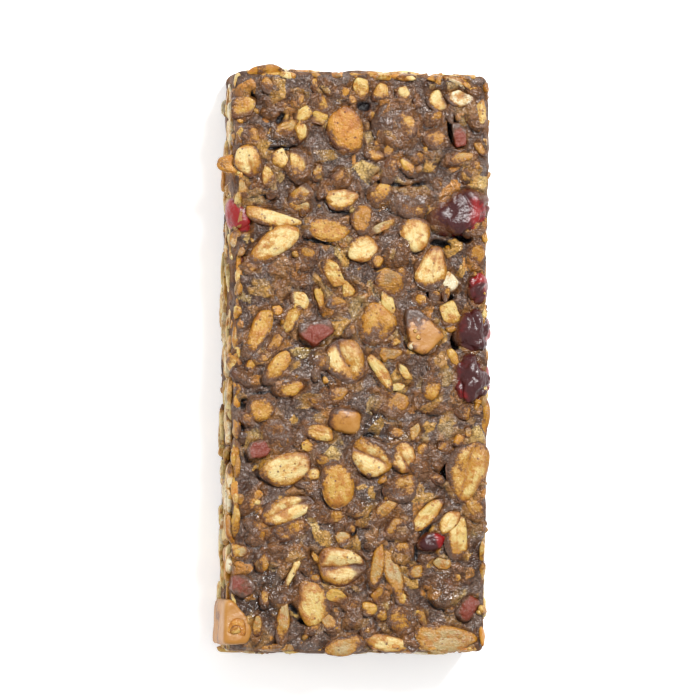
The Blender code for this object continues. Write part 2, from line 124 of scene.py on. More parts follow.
# Oat flakes on the top face: x, y, length, width, turn, crease, tone, coat, bare side in degrees
OATS = (
    (-3.0, 40.1, 8.1, 5.9, 95, 0.0, "orange", 0.10, 90),
    (6.0, 41.0, 7.9, 7.6, 100, 0.1, "pale", 0.74, 5),
    (-20.0, 34.4, 5.2, 4.8, 100, 0.5, "cream", 0.12, 200),
    (-15.8, 24.9, 9.2, 2.8, -12, 0.0, "cream", 0.12, 90),
    (-15.4, 19.9, 10.0, 4.0, 33, 0.1, "cream", 0.08, 0),
    (-6.0, 23.0, 7.9, 3.7, -4, 0.1, "golden", 0.25, -90),
    (-3.6, 28.2, 5.5, 3.5, 5, 0.2, "cream", 0.15, 60),
    (0.1, 19.7, 5.6, 4.4, 20, 0.1, "cream", 0.15, -90),
    (9.2, 22.2, 6.0, 4.9, 95, 0.1, "cream", 0.08, -90),
    (8.3, 28.0, 7.2, 5.4, 0, 0.1, "pale", 0.72, -90),
    (0.1, 24.4, 5.2, 3.6, 80, 0.1, "tan", 0.50, 0),
    (12.1, 16.3, 7.3, 5.0, 70, 0.4, "cream", 0.10, 90),
    (2.7, 6.3, 6.7, 6.4, 60, 0.1, "golden", 0.30, 60),
    (3.1, -1.8, 7.0, 2.2, -57, 0.1, "pale", 0.20, 45),
    (12.5, -3.7, 6.0, 3.2, 78, 0.1, "golden", 0.50, -80),
    (-18.4, 4.7, 9.3, 3.1, 66, 0.3, "golden", 0.35, 0),
    (-14.7, -1.3, 6.4, 3.3, 50, 0.2, "golden", 0.35, 0),
    (-2.7, 0.1, 7.9, 6.6, -70, 1.0, "cream", 0.22, 0),
    (-14.7, -13.0, 5.8, 5.4, 80, 0.1, "pale", 0.70, 0),
    (-12.8, -18.2, 8.9, 5.2, 14, 0.0, "cream", 0.04, 0),
    (-4.1, -21.1, 8.4, 5.5, 100, 0.0, "golden", 0.15, -80),
    (-12.8, -25.8, 9.7, 4.2, 20, 0.5, "cream", 0.12, 0),
    (-12.5, -29.2, 6.9, 3.0, 20, 0.1, "golden", 0.60, 0),
    (1.7, -16.5, 7.4, 6.0, -32, 1.0, "cream", 0.20, -100),
    (7.4, -16.1, 5.7, 4.6, 108, 0.7, "cream", 0.35, -45),
    (18.9, -18.7, 10.2, 6.6, 70, 0.9, "pale", 0.30, -30),
    (7.2, -21.8, 6.4, 4.3, 15, 0.3, "olive", 0.50, 0),
    (12.0, -26.3, 7.0, 2.9, 45, 0.1, "pale", 0.20, 135),
    (15.6, -27.7, 4.9, 2.6, 52, 0.1, "cream", 0.08, 90),
    (17.2, -30.3, 7.1, 3.8, 85, 0.3, "pale", 0.20, 0),
    (-3.2, -35.3, 8.0, 6.5, -3, 1.0, "cream", 0.06, 90),
    (-8.3, -41.6, 7.6, 5.6, -70, 0.2, "pale", 0.15, 180),
    (5.8, -36.8, 7.8, 2.9, -73, 0.2, "olive", 0.25, 0),
    (2.9, -35.1, 7.3, 2.3, 80, 0.1, "olive", 0.25, 0),
    (7.4, -44.2, 5.8, 4.6, 100, 0.1, "golden", 0.60, 180),
    (4.6, -48.3, 7.8, 2.8, -8, 0.0, "cream", 0.12, 90),
    (15.1, -47.7, 10.0, 4.6, -3, 0.1, "olive", 0.15, -90),
    (-13.4, -45.4, 7.9, 2.2, 85, 0.1, "olive", 0.25, 0),
    (-2.4, -48.9, 6.9, 3.4, 15, 0.1, "olive", 0.30, -90),
    (-17.4, -8.0, 4.9, 4.4, 20, 0.4, "golden", 0.45, -90),
    (-7.6, -12.2, 6.1, 2.9, -15, 0.2, "pale", 0.30, -20),
    (12.5, 38.5, 4.0, 3.4, 10, 0.2, "tan", 0.55, 0),
)

# Nut chips, oat pieces and lumps on the top face: x, y, length, width, turn, tone, coat
CHIPS = (
    (-21.0, 43.9, 4.4, 4.0, 60, "golden", 0.15), (-10.7, 42.7, 3.5, 3.1, 30, "pale", 0.10),
    (-7.8, 42.0, 3.1, 2.3, -20, "golden", 0.15), (-10.9, 39.6, 3.5, 2.1, 85, "pale", 0.10),
    (-19.5, 38.7, 3.2, 3.0, 0, "khaki", 0.60), (-14.6, 34.6, 3.4, 3.1, 40, "cream", 0.15),
    (-16.5, 31.8, 3.4, 2.6, 80, "pale", 0.25), (-11.3, 33.9, 5.0, 3.8, 90, "pale", 0.30),
    (-7.9, 32.7, 2.8, 1.6, 85, "olive", 0.25), (-0.8, 47.3, 3.5, 3.2, 90, "pale", 0.15),
    (3.2, 46.6, 3.4, 3.0, 0, "pale", 0.35), (7.1, 46.6, 2.4, 2.0, 40, "cream", 0.20),
    (13.2, 45.4, 3.6, 2.7, -50, "cream", 0.05), (17.0, 46.0, 4.5, 2.3, -10, "white", 0.02),
    (17.2, 35.4, 5.5, 1.8, 18, "olive", 0.35), (7.8, 34.1, 3.8, 2.1, -60, "golden", 0.20),
    (2.2, 35.8, 3.3, 2.1, -15, "golden", 0.25), (-10.7, 29.2, 4.4, 2.9, 40, "olive", 0.25),
    (-11.3, 26.6, 3.7, 3.2, -10, "olive", 0.20), (-20.9, 28.9, 4.5, 1.7, 92, "olive", 0.30),
    (3.2, 23.2, 5.2, 1.8, 25, "olive", 0.15), (-5.0, 14.9, 5.4, 3.1, -60, "pale", 0.12),
    (-10.0, 17.8, 4.0, 3.4, 70, "khaki", 0.45), (-19.5, 16.1, 3.0, 2.2, 10, "khaki", 0.40),
    (-14.2, 12.5, 3.2, 2.1, -80, "khaki", 0.50), (-2.4, 12.2, 3.0, 2.4, 90, "pale", 0.20),
    (-7.2, 10.6, 4.6, 1.6, -75, "golden", 0.20), (-10.9, 10.4, 3.4, 2.6, -20, "cream", 0.10),
    (5.1, 13.2, 4.8, 4.5, 0, "khaki", 0.45), (15.5, 14.2, 3.8, 2.9, 110, "white", 0.10),
    (15.6, 8.2, 4.6, 3.4, -60, "pale", 0.15), (4.8, 9.9, 4.6, 1.9, -60, "pale", 0.15),
    (16.0, 0.9, 3.6, 1.5, -60, "golden", 0.15), (19.6, 23.2, 4.6, 2.4, 10, "tan", 0.50),
    (20.3, 18.6, 4.4, 2.8, 80, "tan", 0.45), (5.0, 1.3, 4.9, 2.2, -3, "khaki", 0.30),
    (7.4, -1.5, 3.4, 1.6, -60, "pale", 0.20), (6.4, -4.2, 3.2, 1.6, 10, "pale", 0.10),
    (-12.8, 6.5, 5.4, 2.3, 60, "pale", 0.15), (-15.1, 3.0, 4.6, 2.6, 60, "tan", 0.50),
    (-14.9, 8.6, 2.4, 2.1, 0, "orange", 0.30), (-4.3, 9.4, 3.4, 3.6, 0, "tan", 0.60),
    (-12.5, -4.4, 5.0, 2.8, 8, "golden", 0.45), (-4.3, -5.6, 5.0, 2.9, 22, "khaki", 0.35),
    (-9.3, -14.9, 2.6, 2.3, 0, "golden", 0.25), (-18.8, -24.1, 5.9, 2.1, 50, "orange", 0.30),
    (-4.6, -26.8, 3.8, 2.2, 10, "olive", 0.30), (-2.9, -30.6, 3.1, 2.8, 0, "olive", 0.30),
    (9.5, -12.0, 3.3, 1.9, 75, "olive", 0.35), (6.4, -12.1, 2.6, 2.0, 0, "tan", 0.40),
    (4.3, -25.5, 5.0, 2.4, 42, "olive", 0.35), (-0.8, -25.4, 3.1, 2.7, 0, "tan", 0.60),
    (6.6, -28.4, 5.0, 3.8, 10, "khaki", 0.50), (-16.8, -34.2, 3.5, 2.3, 70, "khaki", 0.35),
    (9.5, -36.1, 2.5, 2.2, 0, "olive", 0.30), (14.2, -34.9, 3.0, 2.1, -15, "olive", 0.20),
    (14.8, -39.4, 5.2, 4.6, 90, "brown", 0.80), (-4.1, -40.6, 4.6, 2.4, -20, "golden", 0.10),
    (1.6, -42.5, 3.0, 2.5, 0, "golden", 0.30), (11.0, -44.2, 3.4, 1.6, -70, "khaki", 0.30),
    (-17.9, -46.0, 4.3, 1.7, 88, "olive", 0.30), (-12.0, -36.8, 4.9, 1.5, 66, "cream", 0.10),
    (-20.8, -33.0, 2.7, 2.0, 0, "olive", 0.30), (-17.8, -30.3, 3.2, 2.4, 30, "khaki", 0.60),
    (-10.7, 13.9, 2.6, 1.8, 20, "khaki", 0.60),
)

# Flakes that cross the rim or lie on the caramel: x, y, z, length, width, turn, roll, tone
RIM_FLAKES = (
    (-17.0, 49.6, 13.4, 6.9, 3.4, 8, 35, "orange"),
    (16.3, 48.6, 13.6, 4.8, 2.4, -20, 30, "white"),
    (20.4, 43.0, 13.7, 6.0, 2.6, 86, -20, "pale"),
    (-22.6, 33.7, 13.0, 5.6, 3.4, 170, 20, "orange"),
    (-21.8, 20.8, 13.2, 3.4, 2.4, 90, 20, "white"),
    (-21.6, 4.1, 13.2, 5.2, 2.4, 92, 30, "olive"),
    (-21.8, -1.2, 12.9, 4.9, 2.6, -60, 35, "cream"),
    (-21.5, -16.5, 13.2, 4.2, 2.4, 88, 25, "golden"),
    (-22.0, -28.9, 12.4, 5.0, 3.4, 100, 30, "tan"),
    (21.5, -9.2, 13.3, 7.4, 2.2, 92, -25, "golden"),
    (21.3, -25.4, 13.2, 4.0, 2.2, 85, -25, "golden"),
    (0.9, 49.3, 13.2, 4.0, 2.2, 5, 30, "pale"),
    (-16.6, 40.1, 13.6, 3.6, 2.0, -60, 8, "golden"),
    (20.2, 31.0, 13.4, 4.0, 2.4, 70, -15, "golden"),
    (-21.6, -46.3, 14.3, 4.0, 3.7, 20, 8, "orange"),
    (-21.8, -46.2, 14.8, 2.0, 1.6, 30, 8, "pale"),
    (8.8, 3.0, 14.7, 1.9, 1.3, 30, 0, "white"),
    (9.8, 4.3, 14.8, 1.2, 0.9, -40, 0, "pale"),
    (9.2, 5.4, 14.8, 0.9, 0.8, 0, 0, "cream"),
)

# Pieces that show on the wall at -x: y, z, length along y, height, turn, tone
LEFT_WALL = (
    (45.1, 8.0, 6.5, 3.6, 8, "white"), (39.6, 6.2, 4.6, 4.0, -30, "cream"),
    (29.2, 8.4, 5.0, 5.4, 20, "white"), (20.8, 6.4, 6.4, 4.0, -15, "tan"),
    (6.6, 7.8, 6.0, 6.8, 20, "cream"), (-4.5, 7.4, 5.2, 3.4, -10, "white"),
    (-10.6, 7.6, 7.0, 4.2, 12, "cream"), (-22.2, 9.4, 8.6, 2.8, -6, "white"),
    (-21.6, 4.4, 8.0, 3.0, 8, "white"), (-34.7, 7.6, 6.6, 4.6, 14, "orange"),
    (-29.2, 5.2, 4.6, 3.6, -30, "cream"), (0.6, 4.2, 5.0, 2.8, 5, "cream"),
)

# Hollows in the top face, painted dark as shade by their depth: x, y, length, width, turn, depth
HOLLOWS = (
    (-14.4, 41.8, 2.6, 1.2, 60, 1.2), (-18.9, 45.0, 4.6, 0.9, 105, 1.4),
    (-14.0, 36.6, 6.4, 1.2, 5, 1.2), (-11.3, 35.8, 1.6, 1.3, 0, 1.5),
    (0.1, 44.2, 3.0, 2.2, 0, 1.1), (4.6, 42.5, 1.6, 1.2, 0, 1.2),
    (15.9, 40.3, 5.0, 2.2, 100, 2.2), (5.0, 31.0, 7.0, 1.0, -8, 1.1),
    (10.0, 30.8, 4.0, 0.9, 12, 1.0), (13.9, 20.4, 4.2, 1.4, -15, 2.0),
    (17.7, 21.8, 3.6, 1.8, -20, 2.4), (13.9, 11.4, 5.4, 1.7, -5, 2.2),
    (-7.5, 20.7, 7.0, 1.0, -12, 1.1), (-3.9, 25.9, 5.6, 1.0, -6, 1.1),
    (16.7, 4.2, 4.2, 1.8, 80, 2.6), (-20.5, -7.3, 2.2, 1.4, 70, 1.2),
    (-20.6, -11.5, 7.5, 1.1, 90, 1.1), (-17.4, -5.5, 5.0, 0.9, 10, 0.9),
    (15.2, -18.9, 5.0, 2.0, 62, 1.4), (-7.2, -39.6, 2.2, 1.1, -60, 1.4),
    (-11.5, -42.6, 2.6, 1.0, -60, 1.4), (-9.4, -45.0, 3.4, 1.0, -20, 1.4),
    (11.6, -29.3, 4.6, 1.0, 45, 1.2), (3.0, -13.9, 4.5, 0.9, -20, 0.8),
    (-1.0, -29.4, 2.8, 0.9, 40, 0.9), (6.2, -6.0, 4.4, 0.9, 10, 0.9),
    (-6.4, -3.4, 5.0, 0.9, -60, 0.8), (1.4, -12.6, 3.4, 1.1, 10, 0.9),
    (-16.5, 28.3, 4.5, 0.9, -15, 0.9), (9.9, -33.0, 3.6, 0.9, 100, 1.0),
)

# Wet syrup on the top face: x, y, radius
SYRUP = (
    (-6.0, 35.6, 1.6), (-16.0, -39.4, 3.6), (-14.5, 38.4, 2.2), (14.8, -39.4, 3.0),
    (6.4, -40.8, 1.6), (15.3, -19.0, 1.8), (-10.0, 0.4, 2.4), (4.2, 27.5, 1.8),
    (2.0, -11.0, 2.6), (-5.9, -45.0, 2.0), (1.0, -23.5, 1.8), (-18.5, -27.0, 1.4),
    (-17.5, -42.5, 2.4), (6.5, -12.0, 2.4), (-7.5, 4.0, 2.0),
)

# Seeded pieces that the binder hides but for their shape and a tint
BURIED_SEED = 41
BURIED_PITCH = 2.9
BURIED_MARGIN = 1.5
BURIED_END = 1.0
BURIED_SHIFT = (-1.3, 1.3)
BURIED_LENGTH = (2.6, 7.0)
BURIED_WIDTH_SHARE = (0.3, 0.75)
BURIED_TONES = ("golden", "khaki", "golden", "olive", "khaki", "pale", "orange", "tan")
SHARD_SIDES = 5
SHARD_SIDE_SHARE = (0.62, 1.0)

# Seeded chips, mostly covered, in the places that the tables above leave free
SUNK_SEED = 43
SUNK_COUNT = 110
SUNK_MARGIN = 1.6
SUNK_LENGTH = (2.4, 5.2)
SUNK_WIDTH_SHARE = (0.35, 0.75)
SUNK_COAT = (0.35, 0.95)
SUNK_LEAST_ROOM = 0.55

# The film: where it ends on a piece, how thick it gets, and the rim that it raises round a piece
FILM_EDGE = 0.9
FILM_THICKNESS = 0.2
MENISCUS = 0.3
# How far smears, grains, a piece's coat, its rim and its bare side change the film, and how bare
# a piece is without them
FILM_SMEARS = 0.45
FILM_GRAINS = 0.25
FILM_BY_COAT = 1.7
FILM_BARE = 0.45
FILM_BY_RIM = 0.65
FILM_BY_SIDE = 0.65
# Direction, in degrees, in which the creases round the pieces are deepest: the side away from the key
# light, where their depth is painted darkest as shade
GROOVE_SIDE = 235

# From the sizes in the tables to the pieces': scale, share of rise_of, power of the crown's dome
OAT_SCALE = 1.06
OAT_RISE = 0.66
OAT_CROWN = 3.0
CHIP_SCALE = 1.2
CHIP_RISE = 0.44
CHIP_CROWN = 3.5
FRUIT_CROWN = 2.6
# How far a fruit's or caramel's own relief reaches
FRUIT_RELIEF = 0.6
# Middle direction, in degrees, of the seeded bare sides, and what each chip's coat has added
BARE_SIDE = 55
CHIP_COAT = 0.08
# Power of the norm that rounds a chunk's or a chip's edges, and a chunk's slightly tilted top
EDGE_POWER = 12
BLOCK_TOP = (0.12, 0.1, 1.0)
# Powers of the rounder forms, and how far apart in the noise two pieces of a kind are taken
BERRY_POWER = 2.2
CARAMEL_POWER = 3.4
FRUIT_POWER = 3.0
PIECE_STEP = 9.0
# A berry's skin: how far it is warped and lifted before its folds and finer wrinkles cut in, how
# narrow these are, and the least half size at which they have their full depth
BERRY_WARP = 0.8
BERRY_LIFT = 0.7
BERRY_FOLD_DEPTH = 0.6
BERRY_WRINKLE_DEPTH = 0.12
BERRY_NARROWNESS = 1.6
BERRY_FULL_SIZE = 3.0
# How far bare side, lean and roll are drawn from their middles, in degrees
OAT_SPREADS = (60, 3, 6)
CHIP_SPREADS = (90, 10, 13)
# Waves in a flake's outline: how many go round, height
FLAKE_WAVES = ((2, 0.04), (3, 0.05), (5, 0.025), (8, 0.012))
# Rise and crease of the flakes that cross the rim
RIM_FLAKE_RISE = 0.6
RIM_FLAKE_CREASE = 0.1
# Coat and bare side, in degrees, of the fruit and caramel that lie in the top face
FRUIT_COATS = {
    "berry_left_rim": (0.05, 180), "berry_upper_right": (0.22, -40), "berry_right_rim": (0.2, 0),
    "berry_right_upper": (0.0, 0), "berry_right_lower": (0.02, 0), "berry_lower_right": (0.0, 0),
    "caramel_large": (0.36, -50), "caramel_middle": (0.30, -60),
    "fruit_chip_middle": (0.2, -60), "fruit_chip_left": (0.25, -40),
    "fruit_chip_lower_left": (0.52, 180), "fruit_chip_lower_right": (0.42, 20),
    "fruit_chip_left_rim": (0.1, 180), "fruit_chip_hollow": (0.4, -90),
}

# Outward directions of the walls: the one at -x, which the photograph shows, comes first
WALLS = ((-1, 0, 0), (1, 0, 0), (0, 1, 0), (0, -1, 0))

# Seeded pieces on the three walls that a view from above leaves out
WALL_SEED = 5
WALL_PITCH = 8.2
WALL_PIECE_LENGTH = (4.2, 7.6)
WALL_PIECE_HEIGHT = (2.4, 4.6)
WALL_PIECE_RISE = 0.5
WALL_PIECE_LEVELS = (4.4, 9.0)
WALL_END_MARGIN = 4.0
WALL_SHIFT = (-1.6, 1.6)
WALL_LEVEL_SHIFT = (-0.8, 0.8)
WALL_PIECE_TURN = (-25, 25)

# Separate pieces: name, centre, half sizes, turn
BERRIES = (
    ("berry_left_rim", (-21.0, 24.6, 11.2), (3.2, 1.9, 2.9), -75),
    ("berry_upper_right", (16.9, 26.0, 12.4), (5.6, 3.6, 2.8), 22),
    ("berry_right_rim", (20.4, 13.0, 11.7), (3.2, 1.8, 2.4), 90),
    ("berry_right_upper", (19.4, 5.5, 11.9), (3.8, 2.9, 3.2), 88),
    ("berry_right_lower", (19.2, -2.9, 11.9), (4.3, 3.1, 3.2), 92),
    ("berry_lower_right", (12.7, -31.0, 12.9), (2.5, 1.5, 1.9), 22),
)
CARAMELS = (
    ("caramel_large", (10.5, 5.4, 12.6), (4.1, 3.1, 2.3), -50),
    ("caramel_middle", (-2.9, -10.1, 12.8), (2.9, 2.3, 1.8), -10),
    ("caramel_left_wall", (-20.4, 12.6, 7.0), (2.1, 3.5, 4.6), 0),
    ("caramel_corner", (-21.0, -45.0, 8.4), (3.0, 4.0, 6.0), 0),
)
FRUIT_CHIPS = (
    ("fruit_chip_middle", (-7.8, 4.7, 13.0), (2.8, 2.1, 1.8), 8),
    ("fruit_chip_left", (-17.9, -15.4, 13.0), (2.1, 2.0, 1.8), 5),
    ("fruit_chip_lower_left", (-20.2, -38.7, 12.6), (2.3, 1.8, 1.9), -40),
    ("fruit_chip_lower_right", (18.9, -42.5, 12.8), (2.4, 1.7, 1.8), 60),
    ("fruit_chip_left_rim", (-20.9, 16.9, 11.6), (1.6, 1.1, 1.5), 90),
    ("fruit_chip_hollow", (17.0, 39.5, 12.6), (2.4, 1.4, 1.6), 100),
)

# Where each berry shows red: direction in degrees, how much
RED_SIDES = {
    "berry_left_rim": (180, 1.5), "berry_upper_right": (0, 0.9), "berry_right_rim": (100, 1.3),
    "berry_right_upper": (170, 0.7), "berry_right_lower": (200, 0.7), "berry_lower_right": (20, 1.4),
}

# Straight-sided chunks: corners of the outline from the middle, across and along the bar
OUTLINES = {
    "caramel_large": (
        (-3.3, 2.6), (-2.9, 4.0), (-0.3, 3.8), (4.2, -0.8), (0.6, -4.3), (-2.0, -3.4),
    ),
    "fruit_chip_middle": (
        (-3.3, 1.8), (2.0, 2.7), (3.1, 0.4), (-0.3, -2.2), (-1.9, -1.5), (-3.5, -0.1),
    ),
    "caramel_corner": (
        (-2.6, 3.8), (-1.2, 4.0), (1.6, 1.0), (2.4, -1.6), (1.6, -3.8), (-3.0, -3.9),
    ),
    "fruit_chip_hollow": (
        (-1.3, 2.0), (0.6, 2.4), (1.5, 0.6), (1.1, -1.8), (-0.6, -2.4), (-1.2, -0.6),
    ),
    "fruit_chip_lower_left": (
        (-2.0, 1.6), (-0.2, 2.3), (2.0, 0.2), (1.6, -1.6), (-0.6, -2.2), (-2.4, -0.6),
    ),
    "fruit_chip_left": (
        (-1.6, 1.2), (0.9, 1.9), (2.3, 0.1), (1.4, -1.2), (-1.6, -1.4), (-2.1, -0.2),
    ),
}

# Mesh densities: cells along the sides of each kind's lattice
FLAKE_CELLS = (32, 22)
CHIP_CELLS = 13
SUNK_CELLS = 9
CRUMB_CELLS = 5
LUMP_CELLS = 34

# Seeds: of the leans and rolls on the top face, and the first of each kind's forms
TOP_SEED = 3
OAT_FORMS = 100
RIM_FLAKE_FORMS = 160
CHIP_FORMS = 200
WALL_FORMS = 400
CRUMB_FORMS = 400
FRUIT_FORMS = 500
SLIVER_FORMS = 600
RIM_FORMS = 800

# Ranges that seeded bits of a wall are drawn from, after how far in from the wall and from its
# ends they stay, and how much prouder they stand on the wall at -x
WallBits = namedtuple("WallBits", "inset margin proud levels length width rise turn roll coat tones")

# Thin slivers that the cut walls show edge-on
SLIVER_SEED = 27
SLIVERS_PER_WALL = (80, 70, 30, 30)
SLIVERS = WallBits(
    inset=0.0, margin=2.5, proud=0.4, levels=(1.6, 12.6), length=(2.4, 7.5), width=(0.8, 2.0),
    rise=(0.3, 0.6), turn=(-16, 16), roll=None, coat=(-0.5, 0.3),
    tones=("cream", "white", "pale", "white", "golden", "white", "orange", "cream"),
)

# Bits along the rim of the top face, and the share of them that each wall's rim gets
RIM_SEED = 33
RIM_COUNT = 170
RIM_SHARES = (0.42, 0.26, 0.16, 0.16)
RIM_BITS = WallBits(
    inset=0.5, margin=1.5, proud=0.0, levels=(12.9, 13.9), length=(1.4, 4.6), width=(0.7, 1.9),
    rise=(0.2, 0.5), turn=(-30, 30), roll=(-60, -20), coat=(-0.4, 0.6),
    tones=("pale", "golden", "cream", "khaki", "tan", "orange", "golden", "brown"),
)

# Small crumbs pressed into the surface
CRUMB_SEED = 21
TOP_CRUMBS = 90
WALL_CRUMBS = 300
CRUMB_SIZE = (0.5, 1.7)
CRUMB_SIZE_SHARE = (0.6, 1.0)
CRUMB_LENGTHENING = 1.4
CRUMB_TILT = (-20, 20)
CRUMB_DEPTH = 0.1
CRUMB_TOP_COAT = (0.0, 0.8)
CRUMB_WALL_COAT = (0.0, 0.7)
CRUMB_MARGIN = 1.0
CRUMB_REACH_ACROSS = 20.0
CRUMB_REACH_ALONG = 48.0
CRUMB_LEVELS = (1.0, 12.5)
CRUMB_TONES = ("cream", "pale", "golden", "olive", "olive", "khaki", "khaki", "tan", "brown")

# Camera and stage; the lights' sizes and places are in metres
AIM = (-2.0, 2.0, 14.0)
CAMERA_DISTANCE = 900.0
CAMERA_LEAN_LEFT = 10.0
CAMERA_LEAN_DOWN = 1.5
CAMERA_ROLL = 0.4
SENSOR_WIDTH = 36.0
FRAME_WIDTH = 120.7
FLOOR_SIZE = 3000.0
KEY_SIZE = 0.2
KEY_PLACE = (0.22, 0.38, 0.62)
FILL_SIZE = 0.6
FILL_PLACE = (-0.75, -0.1, 0.32)


def linear(colour):
    """A colour from 0 to 255 in sRGB, as linear red, green, blue and alpha."""
    share = np.array(colour, float) / 255.0
    low = share / 12.92
    high = ((share + 0.055) / 1.055) ** 2.4
    return (*np.where(share <= 0.04045, low, high).tolist(), 1.0)


def appearing(colour):
    """The linear colour of a material that appears as this colour in the stage's light."""
    share = np.clip(np.array(linear(colour)[:3]) - SHEEN, 0.002, None) / LIGHT_LEVEL
    return (*share.tolist(), 1.0)


def smooth_step(low, high, value):
    """0 below low, 1 above high and a smooth rise between."""
    share = np.clip((value - low) / (high - low), 0.0, 1.0)
    return share * share * (3.0 - 2.0 * share)


def noise(points, cell, seed):
    """Seeded values from -1 to 1 on a cubic lattice, blended smoothly between lattice points."""
    table = np.random.default_rng(seed).uniform(-1.0, 1.0, (NOISE_LATTICE,) * 3)
    scaled = np.asarray(points, float) / cell
    low = np.floor(scaled).astype(int)
    part = scaled - low
    part = part * part * (3.0 - 2.0 * part)
    total = np.zeros(len(scaled))
    for corner in np.ndindex(2, 2, 2):
        index = (low + corner) % NOISE_LATTICE
        weight = np.where(np.array(corner) == 1, part, 1.0 - part).prod(axis=1)
        total += weight * table[index[:, 0], index[:, 1], index[:, 2]]
    return total


def bumps(points, rows):
    """How far a surface stands out at these points, by rows of height, cell and seed."""
    return sum(height * noise(points, cell, seed) for height, cell, seed in rows)


def top_height(x, y):
    """Height of the body's top surface, without its fine relief."""
    x, y = np.broadcast_arrays(np.asarray(x, float), np.asarray(y, float))
    points = np.stack([x.ravel(), y.ravel(), np.full(x.size, BAR_HEIGHT)], axis=1)
    return BAR_HEIGHT + bumps(points, BODY_RELIEF).reshape(x.shape)


def box_faces(counts):
    """The quads of a box's surface on an integer lattice, and that lattice's surface points."""
    quads = []
    for axis in range(3):
        u_axis = (axis + 1) % 3
        v_axis = (axis + 2) % 3
        u_index, v_index = np.meshgrid(
            np.arange(counts[u_axis] - 1), np.arange(counts[v_axis] - 1), indexing="ij"
        )
        for end in (0, counts[axis] - 1):
            corners = np.zeros((u_index.size, 4, 3), int)
            corners[:, :, axis] = end
            order = ((0, 0), (1, 0), (1, 1), (0, 1))
            if end == 0:
                order = order[::-1]
            for column, (du, dv) in enumerate(order):
                corners[:, column, u_axis] = u_index.ravel() + du
                corners[:, column, v_axis] = v_index.ravel() + dv
            quads.append(corners)
    quads = np.concatenate(quads)
    points, index = np.unique(quads.reshape(-1, 3), axis=0, return_inverse=True)
    return points, index.reshape(-1, 4)


def lattice_lines(half, spacing):
    """Positions along one side, from end to end, with two lines more in each round edge."""
    flat = half - EDGE_RADIUS
    steps = round(2 * flat / spacing)
    bends = np.array(EDGE_LINES) * EDGE_RADIUS
    return np.concatenate([-half + bends, np.linspace(-flat, flat, steps + 1), half - bends[::-1]])


def rounded_box():
    """Points, outward normals and quads of the pressed body before its relief."""
    half = np.array([BAR_WIDTH, BAR_LENGTH, BAR_HEIGHT]) / 2
    lines = [
        lattice_lines(half[0], FACE_SPACING),
        lattice_lines(half[1], FACE_SPACING),
        lattice_lines(half[2], WALL_SPACING),
    ]
    lattice, quads = box_faces([len(line) for line in lines])
    points = np.stack([lines[axis][lattice[:, axis]] for axis in range(3)], axis=1)
    inner = np.clip(points, EDGE_RADIUS - half, half - EDGE_RADIUS)
    normals = points - inner
    normals /= np.linalg.norm(normals, axis=1, keepdims=True)
    points = inner + EDGE_RADIUS * normals
    points[:, 2] += half[2]
    return points, normals, quads


def own_axes(points, x, y, length, width, turn):
    """Distance from a piece's middle along it and across it, as shares of its half sizes."""
    angle = math.radians(turn)
    dx = points[:, 0] - x
    dy = points[:, 1] - y
    along = (dx * math.cos(angle) + dy * math.sin(angle)) / (length / 2)
    across = (dy * math.cos(angle) - dx * math.sin(angle)) / (width / 2)
    return along, across


def spread(rng, count, most):
    """Directions round a circle, evenly spaced but for a seeded shift of up to a share of a step."""
    return 2 * math.pi * (np.arange(count) + rng.uniform(-most, most, count)) / count


def in_shard(points, x, y, length, width, turn, seed):
    """Distance from a straight-sided shard's middle as a share of its reach, and that along it.

    The share is the greatest of those to its seeded sides.
    """
    rng = np.random.default_rng(seed)
    along, across = own_axes(points, x, y, length, width, turn)
    angles = spread(rng, SHARD_SIDES, 0.35)
    sides = rng.uniform(*SHARD_SIDE_SHARE, SHARD_SIDES)
    shares = (along[:, None] * np.cos(angles) + across[:, None] * np.sin(angles)) / sides
    return shares.max(axis=1), along


def in_oval(points, x, y, length, width, turn):
    """Distance from an oval's middle as a share of its reach, and the angle round it."""
    along, across = own_axes(points, x, y, length, width, turn)
    return np.hypot(along, across), np.arctan2(points[:, 1] - y, points[:, 0] - x)


TopPiece = namedtuple(
    "TopPiece", "kind x y length width turn crease tone coat bare lean roll rise power base seed"
)


def top_pieces():
    """Every piece on the top face, with its seeded lean, roll, bare side and height."""
    rng = np.random.default_rng(TOP_SEED)
    rows = []
    side, lean, roll = OAT_SPREADS
    for index, (x, y, length, width, turn, crease, tone, coat, bare) in enumerate(OATS):
        rows.append(TopPiece(
            "oat", x, y, length * OAT_SCALE, width * OAT_SCALE, turn, crease, tone, coat,
            bare or BARE_SIDE + rng.uniform(-side, side), rng.uniform(-lean, lean),
            rng.uniform(-roll, roll), OAT_RISE * rise_of(width), OAT_CROWN,
            float(top_height(x, y)), OAT_FORMS + index,
        ))
    side, lean, roll = CHIP_SPREADS
    for index, (x, y, length, width, turn, tone, coat) in enumerate(CHIPS + sunk_rows()):
        kind = "chip" if index < len(CHIPS) else "sunk"
        rows.append(TopPiece(
            kind, x, y, length * CHIP_SCALE, width * CHIP_SCALE, turn, 0.0, tone, coat + CHIP_COAT,
            BARE_SIDE + rng.uniform(-side, side), rng.uniform(-lean, lean),
            rng.uniform(-roll, roll), CHIP_RISE * rise_of(width), CHIP_CROWN,
            float(top_height(x, y)), CHIP_FORMS + index,
        ))
    for index, (name, centre, half, turn) in enumerate(BERRIES + CARAMELS + FRUIT_CHIPS):
        if name not in FRUIT_COATS:
            continue
        coat, bare = FRUIT_COATS[name]
        base = float(top_height(centre[0], centre[1]))
        rise = centre[2] + half[2] - base - FRUIT_RELIEF
        rows.append(TopPiece(
            "fruit", centre[0], centre[1], 2 * half[0], 2 * half[1], turn, 0.0, name, coat, bare,
            0.0, 0.0, rise, FRUIT_CROWN, base, FRUIT_FORMS + index,
        ))
    return rows


